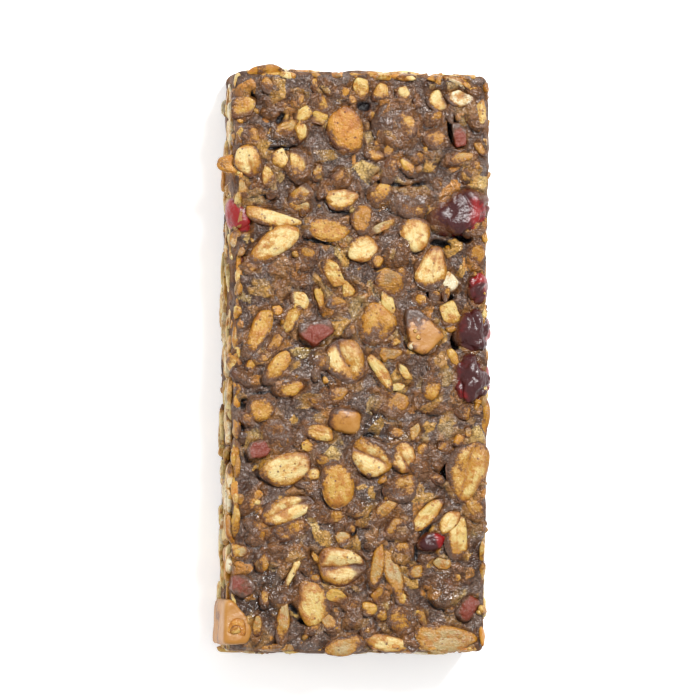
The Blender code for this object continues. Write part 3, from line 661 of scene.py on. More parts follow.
def reach_inside(directions, planes, distance):
    """How far it is, along each direction, to the rounded form that lies inside these planes.

    It is one over the norm, of the power EDGE_POWER, of how close each plane is on that line.
    """
    closeness = np.clip(directions @ planes.T, 0.0, None) / distance
    return 1.0 / (closeness ** EDGE_POWER).sum(axis=1) ** (1 / EDGE_POWER)


def block(half_height, corners):
    """A chunk with straight sides: directions, reach and quads, from the corners of its outline."""
    directions, quads = LUMP_SPHERE
    corners = np.array(corners)
    edges = np.roll(corners, -1, axis=0) - corners
    sides = np.stack([edges[:, 1], -edges[:, 0], np.zeros(len(edges))], axis=1)
    sides /= np.linalg.norm(sides, axis=1, keepdims=True)
    outward = np.sign((sides[:, :2] * corners).sum(axis=1))
    sides *= outward[:, None]
    distance = np.abs((sides[:, :2] * corners).sum(axis=1))
    planes = np.concatenate([sides, [BLOCK_TOP, (0.0, 0.0, -1.0)]])
    distance = np.concatenate([distance, [half_height, half_height]])
    return directions, reach_inside(directions, planes, distance), quads


def film_field(x, y, row):
    """How far the binder covers a piece at a place: bare below 0, covered above FILM_EDGE.

    It grows with the piece's own coat and towards its rim and away from its bare side, and
    varies in smears over the piece.
    """
    points = np.stack([x, y, np.full(len(x), BAR_HEIGHT)], axis=1)
    reach, _ = in_oval(points, row.x, row.y, row.length, row.width, row.turn)
    angle = math.radians(row.bare)
    toward = ((x - row.x) * math.cos(angle) + (y - row.y) * math.sin(angle)) * 2 / row.length
    field = FILM_SMEARS * noise(points, 2.6, SMEAR_NOISE + row.seed % 3)
    field += FILM_GRAINS * noise(points, 1.1, SMEAR_NOISE + 1)
    field += FILM_BY_COAT * row.coat - FILM_BARE + FILM_BY_RIM * smooth_step(0.5, 1.08, reach)
    return field - FILM_BY_SIDE * np.clip(toward, -1.0, 1.0)


def piece_height(x, y, row):
    """Height of a piece's crown at a place, taken as a smooth tilted dome."""
    points = np.stack([x, y], axis=1)
    reach, angle = in_oval(points, row.x, row.y, row.length, row.width, row.turn)
    facing = np.array((0.0, 0.0, 1.0)) @ rotation(row.turn, row.lean, row.roll)
    tilt = -((x - row.x) * facing[0] + (y - row.y) * facing[1]) / facing[2]
    dome = np.clip(1.0 - reach ** row.power, 0.0, 1.0) ** 0.5
    turn = math.radians(row.turn)
    across = (y - row.y) * math.cos(turn) - (x - row.x) * math.sin(turn)
    valley = row.crease * (0.5 * row.rise * np.exp(-((across / (0.2 * row.width)) ** 2)) + 0.25)
    return row.base - 0.05 + (row.rise - valley) * dome + tilt * (reach < 1.1), reach, angle


def wobbled(points, cell, reach, seed):
    """These points' places across and along the bar, shifted by seeded noise."""
    shifts = np.stack([noise(points, cell, seed), noise(points, cell, seed + 1)], axis=1)
    return points[:, :2] + shifts * reach


def press_film(points):
    """Shapes the binder's top round its pieces: over them as a film, or just below their crown.

    Returns the new heights, the depth of creases and hollows, which the binder's shader paints as
    shade, and how near a thin film is.
    """
    moved = wobbled(points, 1.3, 0.3, HOLLOW_NOISE)
    level = points[:, 2].copy()
    pressed = np.full(len(points), -np.inf)
    inside = np.zeros(len(points))
    groove = np.zeros(len(points))
    near = np.zeros(len(points))
    meniscus = np.zeros(len(points))
    for row in top_pieces():
        close = np.hypot(points[:, 0] - row.x, points[:, 1] - row.y) < row.length / 2 + 2.0
        x, y = moved[close].T
        crown, reach, angle = piece_height(x, y, row)
        field = film_field(*points[close, :2].T, row)
        film = crown + np.clip(0.5 * (field - FILM_EDGE), -0.55, FILM_THICKNESS)
        share = 1.0 - smooth_step(0.92, 1.14, reach)
        candidate = np.where(share > 0.0, level[close] * (1.0 - share) + film * share, -np.inf)
        pressed[close] = np.maximum(pressed[close], candidate)
        inside[close] = np.maximum(inside[close], share)
        gap = (reach - 1.08) * min(row.length, row.width) / 2
        # The crease is deepest on the side away from the key light; the binder's shader paints its
        # depth as shade
        shade = smooth_step(-0.1, 0.9, np.cos(angle - math.radians(GROOVE_SIDE)))
        crease = 0.85 * (0.1 + 0.9 * shade) * np.exp(-((gap / 0.3) ** 2))
        groove[close] = np.maximum(groove[close], crease)
        rim = MENISCUS * (1.0 - shade) * np.exp(-((np.clip(gap, 0.0, None) / 0.5) ** 2)) * (gap > -0.2)
        meniscus[close] = np.maximum(meniscus[close], rim)
        thin = share * (1.0 - smooth_step(FILM_EDGE, 1.5, field))
        thin = np.maximum(thin, 0.85 * np.exp(-np.clip(gap, 0.0, None) / 0.5))
        near[close] = np.maximum(near[close], thin)
    level = np.where(np.isfinite(pressed), pressed, level) + meniscus * (1.0 - inside)
    groove *= 1.0 - 0.7 * inside
    hollow = np.zeros(len(points))
    for x, y, length, width, turn, deep in HOLLOWS:
        reach, _ = in_oval(moved, x, y, length, width, turn)
        hollow = np.maximum(hollow, deep * (1.0 - smooth_step(0.5, 1.15, reach)))
    depth = np.maximum(groove, hollow)
    return level - depth, depth, near


def buried_rows():
    """Place, size, turn, strength and tone of each piece hidden under the binder's film."""
    rng = np.random.default_rng(BURIED_SEED)
    across, along = (
        np.arange(BURIED_MARGIN - half, half - BURIED_END, BURIED_PITCH)
        for half in (HALF_WIDTH, HALF_LENGTH)
    )
    for x in across:
        for y in along:
            length = rng.uniform(*BURIED_LENGTH)
            yield (
                x + rng.uniform(*BURIED_SHIFT), y + rng.uniform(*BURIED_SHIFT),
                length, length * rng.uniform(*BURIED_WIDTH_SHARE), rng.uniform(0.0, 360.0),
                rng.beta(0.9, 0.6), BURIED_TONES[rng.integers(len(BURIED_TONES))],
            )


def buried_pieces(points):
    """Rise, tint strength and tone of the pieces under the film, at each of these points."""
    moved = wobbled(points, 1.0, 0.22, SHARD_NOISE)
    rise = np.zeros(len(points))
    show = np.zeros(len(points))
    tone = np.broadcast_to(appearing(TONES["khaki"])[:3], (len(points), 3)).copy()
    for index, (x, y, length, width, turn, strength, name) in enumerate(buried_rows()):
        close = np.hypot(points[:, 0] - x, points[:, 1] - y) < length / 2 + 1.0
        reach, along = in_shard(moved[close], x, y, length, width, turn, index)
        cover = (1.0 - smooth_step(0.85, 1.05, reach)) * strength
        cover *= 0.35 + 0.65 * smooth_step(-0.9, 0.3, along)
        stronger = cover > show[close]
        hit = np.nonzero(close)[0][stronger]
        show[hit] = cover[stronger]
        tone[hit] = appearing(TONES[name])[:3]
        dome = strength * (0.16 + 0.2 * smooth_step(-1.0, 1.0, along)) * smooth_step(1.08, 0.8, reach)
        rise[close] = np.maximum(rise[close], dome)
    return rise, show, tone


def binder_surface():
    """The pressed binder: a round-edged block with relief, and its pieces pressed into the top."""
    points, normals, quads = rounded_box()
    height_share = np.clip(points[:, 2] / EDGE_RADIUS, 0.0, 1.0)
    offset = bumps(points, BODY_RELIEF + FINE_RELIEF)
    up = smooth_step(0.6, 0.97, normals[:, 2])
    rise, show, tone = buried_pieces(points)
    offset = offset * height_share + rise * up
    dents = UNDERSIDE_DENT * smooth_step(0.1, 0.9, noise(points, 2.6, DENT_NOISE))
    underside = smooth_step(0.7, 1.0, -normals[:, 2])
    points = points + normals * (offset - dents * underside)[:, None]
    points[:, 2] = np.maximum(points[:, 2], 0.0)
    depth = np.zeros(len(points))
    near = np.zeros(len(points))
    top = up > 0.0
    level, depth[top], near[top] = press_film(points[top])
    points[top, 2] += (level - points[top, 2]) * up[top]
    depth *= up
    near = near * up + (1.0 - up) * (0.75 + 0.6 * noise(points, 1.6, EDGE_NOISE))
    wet = np.zeros(len(points))
    for x, y, radius in SYRUP:
        distance = np.hypot(points[:, 0] - x, points[:, 1] - y)
        distance += 0.5 * radius * noise(points, 1.6, WET_NOISE)
        wet = np.maximum(wet, 1.0 - smooth_step(0.5 * radius, 1.1 * radius, distance))
    # The hollow value, the depth of creases and hollows, is painted as shade by the binder's shader
    values = {
        "hollow": depth, "wet": wet * up, "near": near, "show": show, "tone": tone, "edge": 1.0 - up,
    }
    return points, quads, values


def rotation(turn, lean=0.0, roll=0.0):
    """Rolled about the piece's length, leaned about its width, then turned about its height."""
    turn, lean, roll = (math.radians(value) for value in (turn, lean, roll))
    about_x = np.array([
        [1, 0, 0], [0, math.cos(roll), -math.sin(roll)], [0, math.sin(roll), math.cos(roll)],
    ])
    about_y = np.array([
        [math.cos(lean), 0, math.sin(lean)], [0, 1, 0], [-math.sin(lean), 0, math.cos(lean)],
    ])
    about_z = np.array([
        [math.cos(turn), -math.sin(turn), 0], [math.sin(turn), math.cos(turn), 0], [0, 0, 1],
    ])
    return (about_z @ about_y @ about_x).T


def wall_axes(outward):
    """The matrix that stands a flat-lying piece on a wall: its x along it, its z outwards."""
    outward = np.array(outward, float)
    up = np.array([0.0, 0.0, 1.0])
    return np.stack([np.cross(up, outward), up, outward])


def rise_of(width):
    """Height of a piece's crown above the binder."""
    return 0.42 + 0.11 * width


def disc_lattice(cells):
    """A flat box lattice drawn to a unit disc: x, y, which side, and quads."""
    lattice, quads = box_faces([cells[0] + 1, cells[1] + 1, 2])
    u = 2.0 * lattice[:, 0] / cells[0] - 1.0
    v = 2.0 * lattice[:, 1] / cells[1] - 1.0
    x = u * np.sqrt(1.0 - v * v / 2.0)
    y = v * np.sqrt(1.0 - u * u / 2.0)
    return x, y, lattice[:, 2] == 1, quads


DISC = disc_lattice(FLAKE_CELLS)


def flake(length, width, rise, crease, seed):
    """An oat flake: a flat oval dome with an uneven outline and, on some, a crease along it.

    The crown is rise times (1 - r to the power 4), to the power 0.6, less a soft valley and a
    narrow groove along the length. The root below is a dome too.
    """
    x, y, top, quads = DISC
    rng = np.random.default_rng(seed)
    radius = np.hypot(x, y)
    angle = np.arctan2(y, x)
    outline = np.ones(len(x))
    for waves, height in FLAKE_WAVES:
        outline += height * np.sin(waves * angle + rng.uniform(0.0, 2 * math.pi))
    taper = 1.0 - rng.uniform(-0.24, 0.24) * x
    bend = rng.uniform(-0.06, 0.06) * length * (1.0 - x * x)
    px = x * outline * length / 2
    py = y * outline * taper * width / 2 + bend
    flat = np.stack([px, py, np.full(len(px), seed * 1.7)], axis=1)
    dome = np.clip(1.0 - radius ** 4.0, 0.0, 1.0) ** 0.6
    line = py - bend - 0.05 * width * np.sin(px / length * 5.0)
    groove = np.exp(-((line / 0.24) ** 2)) * smooth_step(1.0, 0.7, np.abs(x))
    valley = np.exp(-((line / (0.17 * width)) ** 2))
    lumps = bumps(flat, FLAKE_LUMPS)
    lumps += 0.02 * noise(flat * (0.35, 1.0, 1.0), 0.5, FIBRE_NOISE)
    crown = rise * dome * (1.0 - 0.45 * crease * valley) - 0.22 * crease * groove
    crown += lumps * dome + 0.12 * rise * x * rng.uniform(-1.0, 1.0)
    root = -max(0.7, 1.1 * rise) * np.clip(1.0 - radius ** 2, 0.0, 1.0) ** 0.5
    pz = np.where(top, crown, root) - 0.05
    toasted = rng.uniform(0.0, 2 * math.pi)
    stain = crease * (1.1 * groove + 0.35 * valley) + 0.8 * smooth_step(0.6, 1.0, radius)
    stain += 0.55 * radius * np.cos(angle - toasted)
    return np.stack([px, py, pz], axis=1), quads, stain


def unit_cube_lattice(cells):
    """Directions from the middle of a cube's surface lattice, and its quads."""
    lattice, quads = box_faces([cells + 1] * 3)
    cube = 2.0 * lattice / cells - 1.0
    cube = np.tan(cube * math.pi / 4)
    return cube / np.linalg.norm(cube, axis=1, keepdims=True), quads


CHIP_SPHERE = unit_cube_lattice(CHIP_CELLS)
SUNK_SPHERE = unit_cube_lattice(SUNK_CELLS)
CRUMB_SPHERE = unit_cube_lattice(CRUMB_CELLS)
LUMP_SPHERE = unit_cube_lattice(LUMP_CELLS)


def chip(length, width, rise, seed, sphere):
    """A broken nut chip: a plate inside seeded side planes and two slanted top planes."""
    directions, quads = sphere
    rng = np.random.default_rng(seed)
    sides = rng.integers(5, 8)
    angles = spread(rng, sides, 0.4)
    side_normals = np.stack([np.cos(angles), np.sin(angles), rng.uniform(-0.1, 0.45, sides)], axis=1)
    caps = np.array([
        (rng.uniform(-0.35, 0.35), rng.uniform(-0.35, 0.35), 1.0),
        (rng.uniform(-0.6, 0.6), rng.uniform(-0.6, 0.6), 1.0),
        (0.0, 0.0, -1.0),
    ])
    normals = np.concatenate([side_normals, caps])
    normals /= np.linalg.norm(normals, axis=1, keepdims=True)
    distance = rng.uniform(0.62, 1.0, len(normals))
    reach = np.minimum(reach_inside(directions, normals, distance), 1.25)
    root = max(0.7, 1.1 * rise)
    points = directions * reach[:, None] * (length / 2, width / 2, (rise + root) / 2)
    points[:, 2] += (rise - root) / 2
    shifted = points + seed * 1.3
    points += directions * bumps(shifted, CHIP_LUMPS)[:, None]
    # Browner towards the chip's underside
    stain = 0.35 * smooth_step(0.2, -0.5, directions[:, 2])
    stain += 0.3 * noise(shifted, 1.4, CHIP_STAIN_NOISE)
    return points, quads, stain


def lump(half_sizes, power):
    """A rounded piece before its lumps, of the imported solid's form: directions, reach and quads."""
    directions, quads = LUMP_SPHERE
    size = np.array(half_sizes)
    reach = (np.abs(directions / size) ** power).sum(axis=1) ** (-1.0 / power)
    return directions, reach, quads


def foot_mask(points):
    """1 where a piece meets the binder's top, 0 above it; there the piece's colour goes to umber film
    and to painted contact shade.
    """
    height = points[:, 2] - top_height(points[:, 0], points[:, 1])
    return 1.0 - smooth_step(-0.3, 0.2, height)


class Pile:
    """Meshes of like pieces gathered into one, with a value of each kind at every point."""

    def __init__(self):
        self.points = []
        self.quads = []
        self.values = {}
        self.count = 0

    def add(self, world, quads, points, tone, coat, stain, **more):
        """Adds a piece by its points in place, its quads, its own points and its values."""
        colour = appearing(TONES[tone])[:3]
        values = {"local": points, "tone": colour, "coat": coat, "stain": stain, **more}
        self.points.append(world)
        self.quads.append(quads + self.count)
        self.count += len(world)
        for name, value in values.items():
            value = np.asarray(value, float)
            if value.shape[:1] != (len(world),):
                value = np.broadcast_to(value, (len(world),) + value.shape)
            self.values.setdefault(name, []).append(value)

    def make(self, context, name):
        """The one object of all the pieces, of oats and nuts, on the bar's body."""
        joined = {key: np.concatenate(value) for key, value in self.values.items()}
        material = shared(context, grain_material, "Oats And Nuts")
        return piece(
            name, np.concatenate(self.points), np.concatenate(self.quads), joined, material, "body",
        )


def piece(name, points, quads, values, material, slot, *nodes):
    """One object of the bar from whole arrays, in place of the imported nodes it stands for."""
    mesh = bpy.data.meshes.new(name)
    moved = (np.asarray(points) + BODY_SHIFT) * METRES_PER_MM
    mesh.vertices.add(len(moved))
    mesh.vertices.foreach_set("co", moved.astype(np.float32).ravel())
    mesh.loops.add(quads.size)
    mesh.loops.foreach_set("vertex_index", quads.astype(np.int32).ravel())
    mesh.polygons.add(len(quads))
    mesh.polygons.foreach_set("loop_start", np.arange(0, quads.size, 4, dtype=np.int32))
    mesh.polygons.foreach_set("use_smooth", np.ones(len(quads), bool))
    mesh.update(calc_edges=True)
    mesh.validate()
    for key, value in values.items():
        kind = "FLOAT" if value.ndim == 1 else "FLOAT_VECTOR"
        attribute = mesh.attributes.new(key, kind, "POINT")
        field = "value" if value.ndim == 1 else "vector"
        attribute.data.foreach_set(field, value.astype(np.float32).ravel())
    mesh.materials.append(material)
    made = bpy.data.objects.new(name, mesh)
    bpy.context.scene.collection.objects.link(made)
    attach(made, "root")
    if nodes:
        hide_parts(*nodes)
    return made


class Graph:
    """Short calls that add nodes to a material or a node group and link them."""

    def __init__(self, tree):
        self.tree = tree

    def add(self, kind, **settings):
        node = self.tree.nodes.new(kind)
        for name, value in settings.items():
            setattr(node, name, value)
        return node

    def put(self, socket, value):
        if isinstance(value, bpy.types.NodeSocket):
            self.tree.links.new(value, socket)
        else:
            socket.default_value = value

    def feed(self, node, values):
        """Puts a value or a link into each of a node's inputs of these names."""
        for name, value in values.items():
            self.put(node.inputs[name], value)

    def math(self, operation, *values, clamp=False):
        node = self.add("ShaderNodeMath", operation=operation, use_clamp=clamp)
        for socket, value in zip(node.inputs, values):
            self.put(socket, value)
        return node.outputs[0]

    def times(self, first, second):
        return self.math("MULTIPLY", first, second)

    def plus(self, first, second, clamp=False):
        return self.math("ADD", first, second, clamp=clamp)

    def minus(self, first, second, clamp=False):
        return self.math("SUBTRACT", first, second, clamp=clamp)

    def ramp(self, value, low, high):
        """0 below low and 1 above high, with a smooth rise, or the reverse."""
        node = self.add("ShaderNodeMapRange", interpolation_type="SMOOTHSTEP")
        turn = low > high
        self.feed(node, {
            "Value": value, "From Min": min(low, high), "From Max": max(low, high),
            "To Min": float(turn), "To Max": float(not turn),
        })
        return node.outputs["Result"]

    def swung(self, value, strength, base):
        """A base value moved up and down by how far a noise is from its middle."""
        return self.math("MULTIPLY_ADD", self.minus(value, 0.5), strength, base)

    def layers(self, colour, *rows):
        """Paints over a colour: rows of a value, where its ramp begins and ends, most and paint."""
        for value, low, high, most, paint, *blend in rows:
            share = self.times(self.ramp(value, low, high), most)
            colour = self.mix(share, colour, paint, *blend)
        return colour

    def mix(self, share, first, second, blend="MIX"):
        node = self.add("ShaderNodeMix", data_type="RGBA", blend_type=blend)
        self.put(node.inputs[0], share)
        self.put(node.inputs[6], first)
        self.put(node.inputs[7], second)
        return node.outputs[2]

    def noise(self, place, per_mm, detail=2.0, rough=0.5):
        node = self.add("ShaderNodeTexNoise")
        scale = per_mm / METRES_PER_MM
        self.feed(node, {"Vector": place, "Scale": scale, "Detail": detail, "Roughness": rough})
        return node.outputs["Fac"]

    def cells(self, place, per_mm):
        node = self.add("ShaderNodeTexVoronoi")
        self.feed(node, {"Vector": place, "Scale": per_mm / METRES_PER_MM})
        return node.outputs["Distance"]

    def value(self, name):
        return self.add("ShaderNodeAttribute", attribute_name=name).outputs["Fac"]

    def vector(self, name):
        return self.add("ShaderNodeAttribute", attribute_name=name).outputs["Vector"]

    def place(self):
        return self.add("ShaderNodeTexCoord").outputs["Object"]

    def bump(self, height, strength, distance):
        node = self.add("ShaderNodeBump")
        distance = distance * METRES_PER_MM
        self.feed(node, {"Height": height, "Strength": strength, "Distance": distance})
        return node.outputs["Normal"]

    def group(self, group, **links):
        """The outputs of a node group that these values and links go into."""
        node = self.add("ShaderNodeGroup")
        node.node_tree = group
        self.feed(node, links)
        return node.outputs


def node_group(name, inputs, outputs):
    """An empty node group with these sockets: rows of socket name and socket type."""
    group = bpy.data.node_groups.new(name, "ShaderNodeTree")
    for label, kind in inputs:
        group.interface.new_socket(label, in_out="INPUT", socket_type=kind)
    for label, kind in outputs:
        group.interface.new_socket(label, in_out="OUTPUT", socket_type=kind)
    graph = Graph(group)
    enter = graph.add("NodeGroupInput")
    leave = graph.add("NodeGroupOutput")
    return group, graph, enter.outputs, leave.inputs


def binder_group(look):
    """Colour, roughness and height of the binder: taupe film with grains, lumps and wet spots, painted
    glints on the grains' tops and painted shade in their pits, crease lines and hollows.
    """
    number = "NodeSocketFloat"
    group, graph, enter, leave = node_group(
        "Binder Surface",
        (
            ("Place", "NodeSocketVector"), ("Hollow", number), ("Wet", number), ("Near", number),
            ("Show", number), ("Tone", "NodeSocketColor"), ("Edge", number),
        ),
        (("Color", "NodeSocketColor"), ("Roughness", number), ("Height", number), ("Coat", number)),
    )
    place = enter["Place"]
    wet = enter["Wet"]
    broad = graph.noise(place, 0.22, 4.0, 0.6)
    patch = graph.noise(place, 0.7, 3.0, 0.55)
    grain = graph.ramp(graph.noise(place, 1.7, 2.0, 0.6), 0.32, 0.68)
    ridge = graph.math("ABSOLUTE", graph.minus(graph.noise(place, 0.7, 3.0, 0.6), 0.5))
    ridge = graph.ramp(ridge, 0.022, 0.0)
    under = graph.mix(0.6, enter["Tone"], look.film, "MULTIPLY")
    colour = graph.layers(
        graph.mix(graph.ramp(broad, 0.40, 0.58), look.binder_dark, look.binder),
        (patch, 0.52, 0.68, 0.35, look.binder_warm),
        (graph.swung(patch, 0.7, enter["Show"]), 0.38, 0.72, 0.9, under),
        (graph.swung(patch, 1.1, enter["Near"]), 0.35, 1.15, 0.8, look.film_edge),
        # Painted glints: a pale colour on the tops of the fine bumps
        (grain, 0.6, 1.0, 0.16, look.binder_painted_glint),
    )
    # Painted shade: the pits of the fine bumps and the ridge's thin crease lines go towards the hollow
    # colour
    dark = graph.times(graph.ramp(grain, 0.34, 0.0), 0.2)
    dark = graph.math("MAXIMUM", dark, graph.times(ridge, 0.65))
    # Painted shade in the creases round the pieces and in the hollows, by their depth; the wet syrup
    # spots also go darker, which is their own colour
    deep = graph.ramp(enter["Hollow"], 0.25, 0.95)
    for share in (dark, deep, graph.times(wet, 0.35)):
        colour = graph.mix(share, colour, look.hollow)
    rough = graph.math("MULTIPLY_ADD", patch, 0.3, look.binder_roughness - 0.15)
    rough = graph.minus(rough, graph.times(wet, 0.24), clamp=True)
    rough = graph.plus(rough, graph.times(enter["Edge"], 0.35), clamp=True)
    shiny = graph.math("MAXIMUM", graph.ramp(broad, 0.46, 0.60), wet)
    satin = graph.times(graph.minus(1.0, shiny), 0.14)
    rough = graph.plus(rough, satin, clamp=True)
    coat = graph.times(graph.minus(1.0, enter["Edge"]), look.syrup)
    coat = graph.times(coat, graph.math("MULTIPLY_ADD", shiny, 0.72, 0.28))
    bubbles = graph.times(graph.noise(place, 1.3, 1.0), graph.times(wet, 1.4))
    calm = graph.math("MULTIPLY_ADD", wet, -1.6, 2.2)
    height = graph.plus(graph.times(patch, calm), graph.times(grain, 0.10))
    height = graph.minus(height, graph.times(ridge, 0.25))
    web = graph.times(graph.noise(place, 2.4, 2.0), graph.ramp(broad, 0.50, 0.60))
    height = graph.plus(height, graph.times(web, 0.6))
    height = graph.plus(height, bubbles)
    for name, value in (("Color", colour), ("Roughness", rough), ("Height", height), ("Coat", coat)):
        graph.put(leave[name], value)
    return group


def new_material(name):
    """A new node material: itself, its graph and its Principled shader."""
    material = bpy.data.materials.new(name)
    material.use_nodes = True
    graph = Graph(material.node_tree)
    return material, graph, material.node_tree.nodes["Principled BSDF"]


def binder_material(look, group):
    """The binder: the node group's surface with a wet coat over it."""
    material, graph, shader = new_material("Binder")
    surface = graph.group(
        group, Place=graph.place(), Hollow=graph.value("hollow"), Wet=graph.value("wet"),
        Near=graph.value("near"), Show=graph.value("show"), Tone=graph.vector("tone"),
        Edge=graph.value("edge"),
    )
    normal = graph.bump(surface["Height"], 1.0, 0.42)
    graph.feed(shader, {
        "Base Color": surface["Color"], "Roughness": surface["Roughness"], "IOR": 1.46,
        "Normal": normal, "Coat Normal": normal, "Coat Weight": surface["Coat"],
        "Coat Roughness": 0.09,
    })
    return material


def coated(graph, shader, group, base, thin, look, roughness, height, bump, film=0.9, shine=0.5):
    """Lays the binder's film over a piece's own colour, by the piece's coat values.

    With more coat the colour goes from the piece's own to a thin film's, to umber, to the binder's. At
    its foot the colour goes to umber film, then darker as painted contact shade.
    """
    place = graph.place()
    coat = graph.swung(graph.noise(place, 1.9, 4.0, 0.65), 1.3, graph.value("coat"))
    cover = graph.ramp(coat, 0.5, 0.9)
    surface = graph.group(group, Place=place, Hollow=0.0, Wet=0.0, Show=-2.0)
    foot = graph.value("foot")
    colour = graph.layers(
        base,
        (coat, -0.1, 0.4, 0.9, thin),
        (coat, 0.25, 0.62, 0.9, look.umber),
        (coat, 0.5, 0.9, film, surface["Color"]),
        # At a piece's foot: umber film, then painted contact shade below the binder's top
        (foot, 0.1, 0.6, 0.9, look.umber),
        (foot, 0.5, 1.0, 0.5, look.hollow),
    )
    rough = graph.add("ShaderNodeMix", data_type="FLOAT")
    graph.put(rough.inputs[0], cover)
    graph.put(rough.inputs[2], roughness)
    graph.put(rough.inputs[3], surface["Roughness"])
    normal = graph.bump(graph.mix(cover, height, surface["Height"]), bump, 0.3)
    graph.feed(shader, {
        "Base Color": colour, "Roughness": rough.outputs[0], "Normal": normal,
        "Coat Normal": normal, "Coat Weight": shine * look.syrup, "Coat Roughness": 0.12,
    })


def grain_material(look, group):
    """Oats and nuts: each piece's own tone, browned edges and creases, fibres and dark specks."""
    material, graph, shader = new_material("Oats And Nuts")
    place = graph.place()
    stretched = graph.add("ShaderNodeMapping")
    graph.feed(stretched, {"Vector": graph.vector("local"), "Scale": (0.5, 3.4, 1.0)})
    fibre = graph.add("ShaderNodeTexNoise")
    graph.feed(fibre, {"Vector": stretched.outputs["Vector"], "Scale": 1.0, "Detail": 3.0})
    fibre = fibre.outputs["Fac"]
    soft = graph.noise(place, 0.55, 3.0, 0.6)
    stain = graph.swung(soft, 2.4, graph.value("stain"))
    specks = graph.ramp(graph.cells(place, 1.05), 0.26, 0.14)
    chosen = graph.plus(graph.noise(place, 0.5, 1.0), graph.value("freckle"))
    chosen = graph.ramp(chosen, 0.50, 0.56)
    speck = graph.times(graph.times(specks, chosen), 0.8)
    colour = graph.layers(
        graph.vector("tone"),
        (soft, 0.46, 0.60, 0.6, look.toast, "MULTIPLY"),
        (soft, 0.54, 0.66, 0.6, look.crust),
        (graph.noise(place, 0.9, 4.0, 0.7), 0.58, 0.66, 0.7, look.mark),
        (stain, -0.05, 0.8, 0.85, look.crust),
        (stain, 0.6, 1.4, 0.85, look.umber),
        (fibre, 0.48, 0.62, 0.4, look.toast, "MULTIPLY"),
    )
    colour = graph.mix(speck, colour, look.speck)
    height = graph.times(fibre, 0.5)
    height = graph.plus(height, graph.noise(place, 2.4, 3.0, 0.6))
    coated(graph, shader, group, colour, look.halo, look, 0.36, height, 0.8)
    shader.inputs["IOR"].default_value = 1.42
    return material


def berry_material(look, group):
    """Dried berry: dark wine skin, brighter red where the skin is thin, glossy and wrinkled."""
    material, graph, shader = new_material("Dried Berry")
    place = graph.place()
    thin = graph.swung(graph.noise(place, 0.5, 3.0), 1.2, graph.value("stain"))
    fine = graph.noise(place, 2.6, 3.0, 0.6)
    colour = graph.layers(
        graph.mix(graph.ramp(thin, 0.15, 0.95), look.berry_dark, look.berry_red),
        (fine, 0.5, 0.75, 0.15, look.berry_bloom),
    )
    height = graph.plus(graph.noise(place, 0.9, 3.0, 0.6), graph.times(fine, 0.4))
    coated(graph, shader, group, colour, look.berry_dark, look, 0.34, height, 0.7, film=0.6, shine=0.35)
    return material


def caramel_material(look, group):
    """Caramel: an even light brown with a soft sheen."""
    material, graph, shader = new_material("Caramel")
    place = graph.place()
    soft = graph.noise(place, 0.35, 3.0, 0.55)
    colour = graph.mix(graph.ramp(soft, 0.35, 0.68), look.caramel, look.caramel_pale)
    height = graph.noise(place, 1.6, 3.0, 0.6)
    coated(graph, shader, group, colour, look.caramel, look, 0.45, height, 0.3, shine=0.15)
    return material


def fruit_material(look, group):
    """Fruit chip: red-brown with pale dusty grains and rust patches."""
    material, graph, shader = new_material("Fruit Chip")
    place = graph.place()
    soft = graph.noise(place, 0.45, 3.0, 0.6)
    fine = graph.noise(place, 2.8, 3.0, 0.7)
    colour = graph.layers(
        graph.mix(graph.ramp(soft, 0.38, 0.66), look.fruit, look.fruit_rust),
        (fine, 0.50, 0.72, 0.4, look.fruit_dust),
    )
    coated(graph, shader, group, colour, look.fruit, look, 0.4, graph.plus(fine, soft), 0.8)
    return material


def number_prop(name, description, default, **limits):
    return bpy.props.FloatProperty(
        name=name, description=description, default=default, min=0.0, **limits,
    )


def colour_prop(name, description, colour, convert=appearing):
    return bpy.props.FloatVectorProperty(
        name=name, description=description, subtype="COLOR", size=4, min=0.0, max=1.0,
        default=convert(colour),
    )


